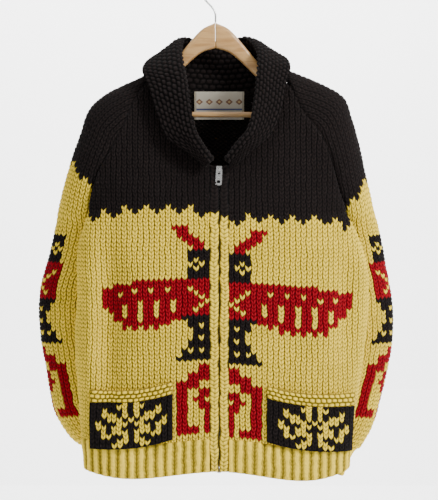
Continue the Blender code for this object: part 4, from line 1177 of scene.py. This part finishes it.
def round_rings(line, radius, around):
    """Circles square to a line that stays in a plane of constant y or along x."""
    run = unit(np.gradient(line, axis=0))
    side = np.broadcast_to((0.0, 1.0, 0.0), run.shape)
    up = unit(np.cross(run, side))
    turn = np.linspace(0, 2 * np.pi, around, endpoint=False)[:, None]
    radius = np.broadcast_to(radius, len(line))[:, None, None]
    return line[:, None] + radius * (side[:, None] * np.cos(turn) + up[:, None] * np.sin(turn))


def make_arm(side):
    """One arm: a rounded-square section carried along the bent middle line."""
    table = smooth(np.array(HANGER_ARM, float) * MM, 8)
    table = np.concatenate([table, table[-1:] + (1.6 * MM, -1.2 * MM, 0, 0)])
    table[-1, 2:] *= 0.72
    turn = np.linspace(0, 2 * np.pi, 40, endpoint=False)
    square = np.stack([np.sign(np.cos(turn)) * np.abs(np.cos(turn)) ** 0.6,
                       np.sign(np.sin(turn)) * np.abs(np.sin(turn)) ** 0.6], axis=1) / 2
    out = HAND[side] * np.maximum(table[:, 0], WOOD_JOINT / 2)[:, None]
    rings = np.stack([np.broadcast_to(out, (len(table), 40)),
                      HANGER_MIDDLE_Y + square[:, 0] * table[:, 3:4],
                      table[:, 1:2] + square[:, 1] * table[:, 2:3]], axis=-1)
    obj = tube("wood_arm_" + side, rings, WOOD)
    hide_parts("hanger_arm_" + side)


def make_bar():
    """The trouser bar: a straight round rod with eased ends."""
    out = np.array([-1, -0.997, -0.985, 0.985, 0.997, 1]) * BAR_REACH
    line = np.stack([out, np.full(6, HANGER_MIDDLE_Y), np.full(6, BAR_HEIGHT)], axis=1)
    obj = tube("wood_bar", round_rings(line, BAR_RADIUS * np.array([0.8, 0.95, 1, 1, 0.95, 0.8]), 32), WOOD)
    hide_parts("trouser_bar")


def make_hook():
    """The bent wire: a short stem out of the wood, then about two thirds of a ring."""
    stem = [(0, -66), (0, -56), (-1.2, -49), (-5, -42.5), (-10.5, -36.5)]
    turn = np.radians(np.linspace(215, -15, 22))
    ring = np.stack([HOOK_RADIUS * np.cos(turn), HOOK_WIRE - HOOK_RADIUS + HOOK_RADIUS * np.sin(turn)], 1)
    flat = np.concatenate([np.array(stem) * MM, ring])
    line = smooth(np.stack([flat[:, 0], 0 * flat[:, 0], flat[:, 1]], axis=1), 4)
    radius = np.full(len(line), HOOK_WIRE)
    radius[-2:] = HOOK_WIRE * np.array([0.9, 0.55])
    obj = tube("wire_hook", round_rings(line, radius, 20), STEEL)
    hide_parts("hook")


for side in SLEEVES:
    make_arm(side)
make_bar()
make_hook()

# ============================================================ the zip
# A metal zip is sewn behind the bands.  Its slider stands closed at the top of
# them, the pull tab hangs from the slider's arch, and a box ends it at the hem.
TOOTH_STEP = 2.4 * MM
TOOTH_HALF = np.array([1.7, 0.9, 0.5]) * MM   # half of a tooth's width, depth and height
TOOTH_ASIDE = 1.1 * MM     # from the zip's middle to a tooth's middle
TEETH_BEHIND = 7.55 * MM   # how far the chain lies behind the bands


def tape_material():
    """Woven cotton tape with a fine ribbed weave."""
    finish, shader, at = start_material("zip_tape")
    place = at.node("ShaderNodeTexCoord", {}, {}, 3)
    weave = at.node("ShaderNodeTexWave", {"bands_direction": "Z"}, {"Vector": place, "Scale": 420.0}, 1)
    dust = at.node("ShaderNodeTexNoise", {}, {"Vector": place, "Scale": 300.0})
    join((weave * 0.5 + dust * 0.5).mix((0.36, 0.28, 0.14, 1), (0.56, 0.45, 0.25, 1)), shader, "Base Color")
    bump = at.node("ShaderNodeBump", {}, {"Height": weave, "Strength": 0.4, "Distance": 0.0004})
    join(bump, shader, "Normal")
    shader.inputs["Roughness"].default_value = 0.85
    return finish


def make_teeth():
    """Two rows of small blocks that interlock down the whole chain."""
    chain_low, chain_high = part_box("zip_chain")
    heights = np.arange(chain_high[2] - TOOTH_STEP, chain_low[2] + TOOTH_STEP / 2, -TOOTH_STEP / 2)
    hand = np.where(np.arange(len(heights)) % 2 == 0, 1, -1)
    corner = np.array([(x, y, z) for x in (-1, 1) for y in (-1, 1) for z in (-1, 1)], float)
    middle = np.stack([ZIP_X + hand * TOOTH_ASIDE, front_depth(heights) + TEETH_BEHIND, heights], axis=1)
    points = (middle[:, None] + corner * TOOTH_HALF).reshape(-1, 3)
    cube = np.array([(0, 1, 3), (0, 3, 2), (4, 6, 7), (4, 7, 5), (0, 4, 5), (0, 5, 1),
                     (2, 3, 7), (2, 7, 6), (0, 2, 6), (0, 6, 4), (1, 5, 7), (1, 7, 3)])
    triangles = (cube[None] + 8 * np.arange(len(heights))[:, None, None]).reshape(-1, 3)
    obj = build("zip_teeth", points, triangles, STEEL)
    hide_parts("zip_chain")


make_teeth()
TAPE = tape_material()
for node, finish in (("slider", STEEL), ("slider_arch", STEEL), ("pull_tab", STEEL), ("zip_box", STEEL),
                     ("zip_tape_left", TAPE), ("zip_tape_right", TAPE)):
    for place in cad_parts[node].material_slots:
        place.material = finish

# ============================================================ the neck label
# A woven label is sewn flat inside the back of the neck, below the collar.
# It carries a plain woven pattern and no lettering.
label_low, label_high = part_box("neck_label")
LABEL_MIDDLE = (label_low[2] + label_high[2]) / 2


def label_material():
    """Cream satin with a woven border and a row of small diamonds."""
    finish, shader, at = start_material("woven_label")
    place = at.node("ShaderNodeTexCoord", {}, {}, 3)
    parts = at.node("ShaderNodeSeparateXYZ", {}, {0: place})
    x, z = Link(at.tree, parts.output), Link(at.tree, parts.output.node.outputs[2])
    x, z = x - ZIP_X, z - LABEL_MIDDLE
    diamond = (x * (1 / 0.016)).math("PINGPONG", x * (1 / 0.016) + 0.5, 1.0)
    shape = (diamond * 0.008).math("ABSOLUTE", diamond * 0.008 - 0.004) * 1.6 + z.math("ABSOLUTE", z - 0.006)
    figure = 1 - shape.step(0.0045, 0.0052)
    heart = 1 - shape.step(0.0018, 0.0024)
    line = 1 - z.math("ABSOLUTE", z + 0.006).step(0.0012, 0.0016)
    edge = x.math("ABSOLUTE", x).step(0.0365, 0.037)
    thread = at.node("ShaderNodeTexWave", {"bands_direction": "Z"}, {"Vector": place, "Scale": 500.0}, 1)
    colour = figure.mix((0.66, 0.61, 0.50, 1), (0.22, 0.09, 0.05, 1))
    colour = heart.mix(colour, (0.70, 0.50, 0.22, 1))
    colour = line.mix(colour, (0.05, 0.07, 0.22, 1))
    colour = edge.mix(colour, (0.45, 0.40, 0.30, 1))
    join((thread * 0.25).mix(colour, (0.30, 0.27, 0.22, 1)), shader, "Base Color")
    bump = at.node("ShaderNodeBump", {}, {"Height": thread, "Strength": 0.3, "Distance": 0.0003})
    join(bump, shader, "Normal")
    shader.inputs["Roughness"].default_value = 0.6
    return finish


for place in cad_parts["neck_label"].material_slots:
    place.material = label_material()

# ============================================================ floor, light and camera
# A plain pale sweep stands behind the object, under wide soft lights.  The
# camera is level, with a long lens.
def make_stage():
    """A floor that bends up into a wall far behind."""
    across = np.array([-12.0, 12.0])
    depth = np.array([-12.0, 4.9, 5.3, 5.5, 5.6, 5.6])
    height = np.array([-1.6, -1.6, -1.52, -1.3, -0.95, 5.0])
    points = np.array([(x, y, z) for y, z in zip(depth, height) for x in across])
    triangles = []
    for i in range(len(depth) - 1):
        a = 2 * i
        triangles += [(a, a + 1, a + 3), (a, a + 3, a + 2)]
    finish, shader, _ = start_material("pale_sweep")
    shader.inputs["Base Color"].default_value = (0.97, 0.97, 0.97, 1)
    shader.inputs["Roughness"].default_value = 0.9
    mesh = bpy.data.meshes.new("sweep")
    mesh.from_pydata([tuple(p) for p in points], [], triangles)
    mesh.materials.append(finish)
    sweep = bpy.data.objects.new("sweep", mesh)
    bpy.context.scene.collection.objects.link(sweep)


def make_light(name, place, aim, size, power):
    """A square soft light that faces a point."""
    data = bpy.data.lights.new(name, "AREA")
    data.shape = "SQUARE"
    data.size = size
    data.energy = power
    lamp = bpy.data.objects.new(name, data)
    lamp.location = place
    lamp.rotation_euler = (Vector(aim) - Vector(place)).to_track_quat("-Z", "Y").to_euler()
    bpy.context.scene.collection.objects.link(lamp)


make_stage()
CENTRE = (0.0, 0.0, -0.43)
make_light("key", (1.9, -1.7, 1.1), CENTRE, 0.9, 104)
make_light("fill", (-1.9, -2.2, 0.2), CENTRE, 2.2, 9)
make_light("sky", (0.0, -0.4, 2.3), CENTRE, 2.0, 40)
make_light("wall_wash", (0.0, 3.2, 2.4), (0.0, 5.6, -0.4), 3.0, 700)
world = bpy.data.worlds.new("studio")
world.use_nodes = True
world.node_tree.nodes["Background"].inputs["Color"].default_value = (1, 1, 1, 1)
world.node_tree.nodes["Background"].inputs["Strength"].default_value = 0.55
bpy.context.scene.world = world

VIEW_HEIGHT = 0.8          # metres from the top to the bottom of the view
VIEW_PLANE = 0.0           # the depth at which that is measured
VIEW_AWAY = 4.2
lens = bpy.data.cameras.new("camera")
lens.sensor_fit = "VERTICAL"
lens.sensor_height = 24
lens.lens = 24 * VIEW_AWAY / VIEW_HEIGHT
camera = bpy.data.objects.new("camera", lens)
camera.location = (0.0056, VIEW_PLANE - VIEW_AWAY, -0.43)
camera.rotation_euler = (np.pi / 2, 0, 0)
bpy.context.scene.collection.objects.link(camera)
bpy.context.scene.camera = camera
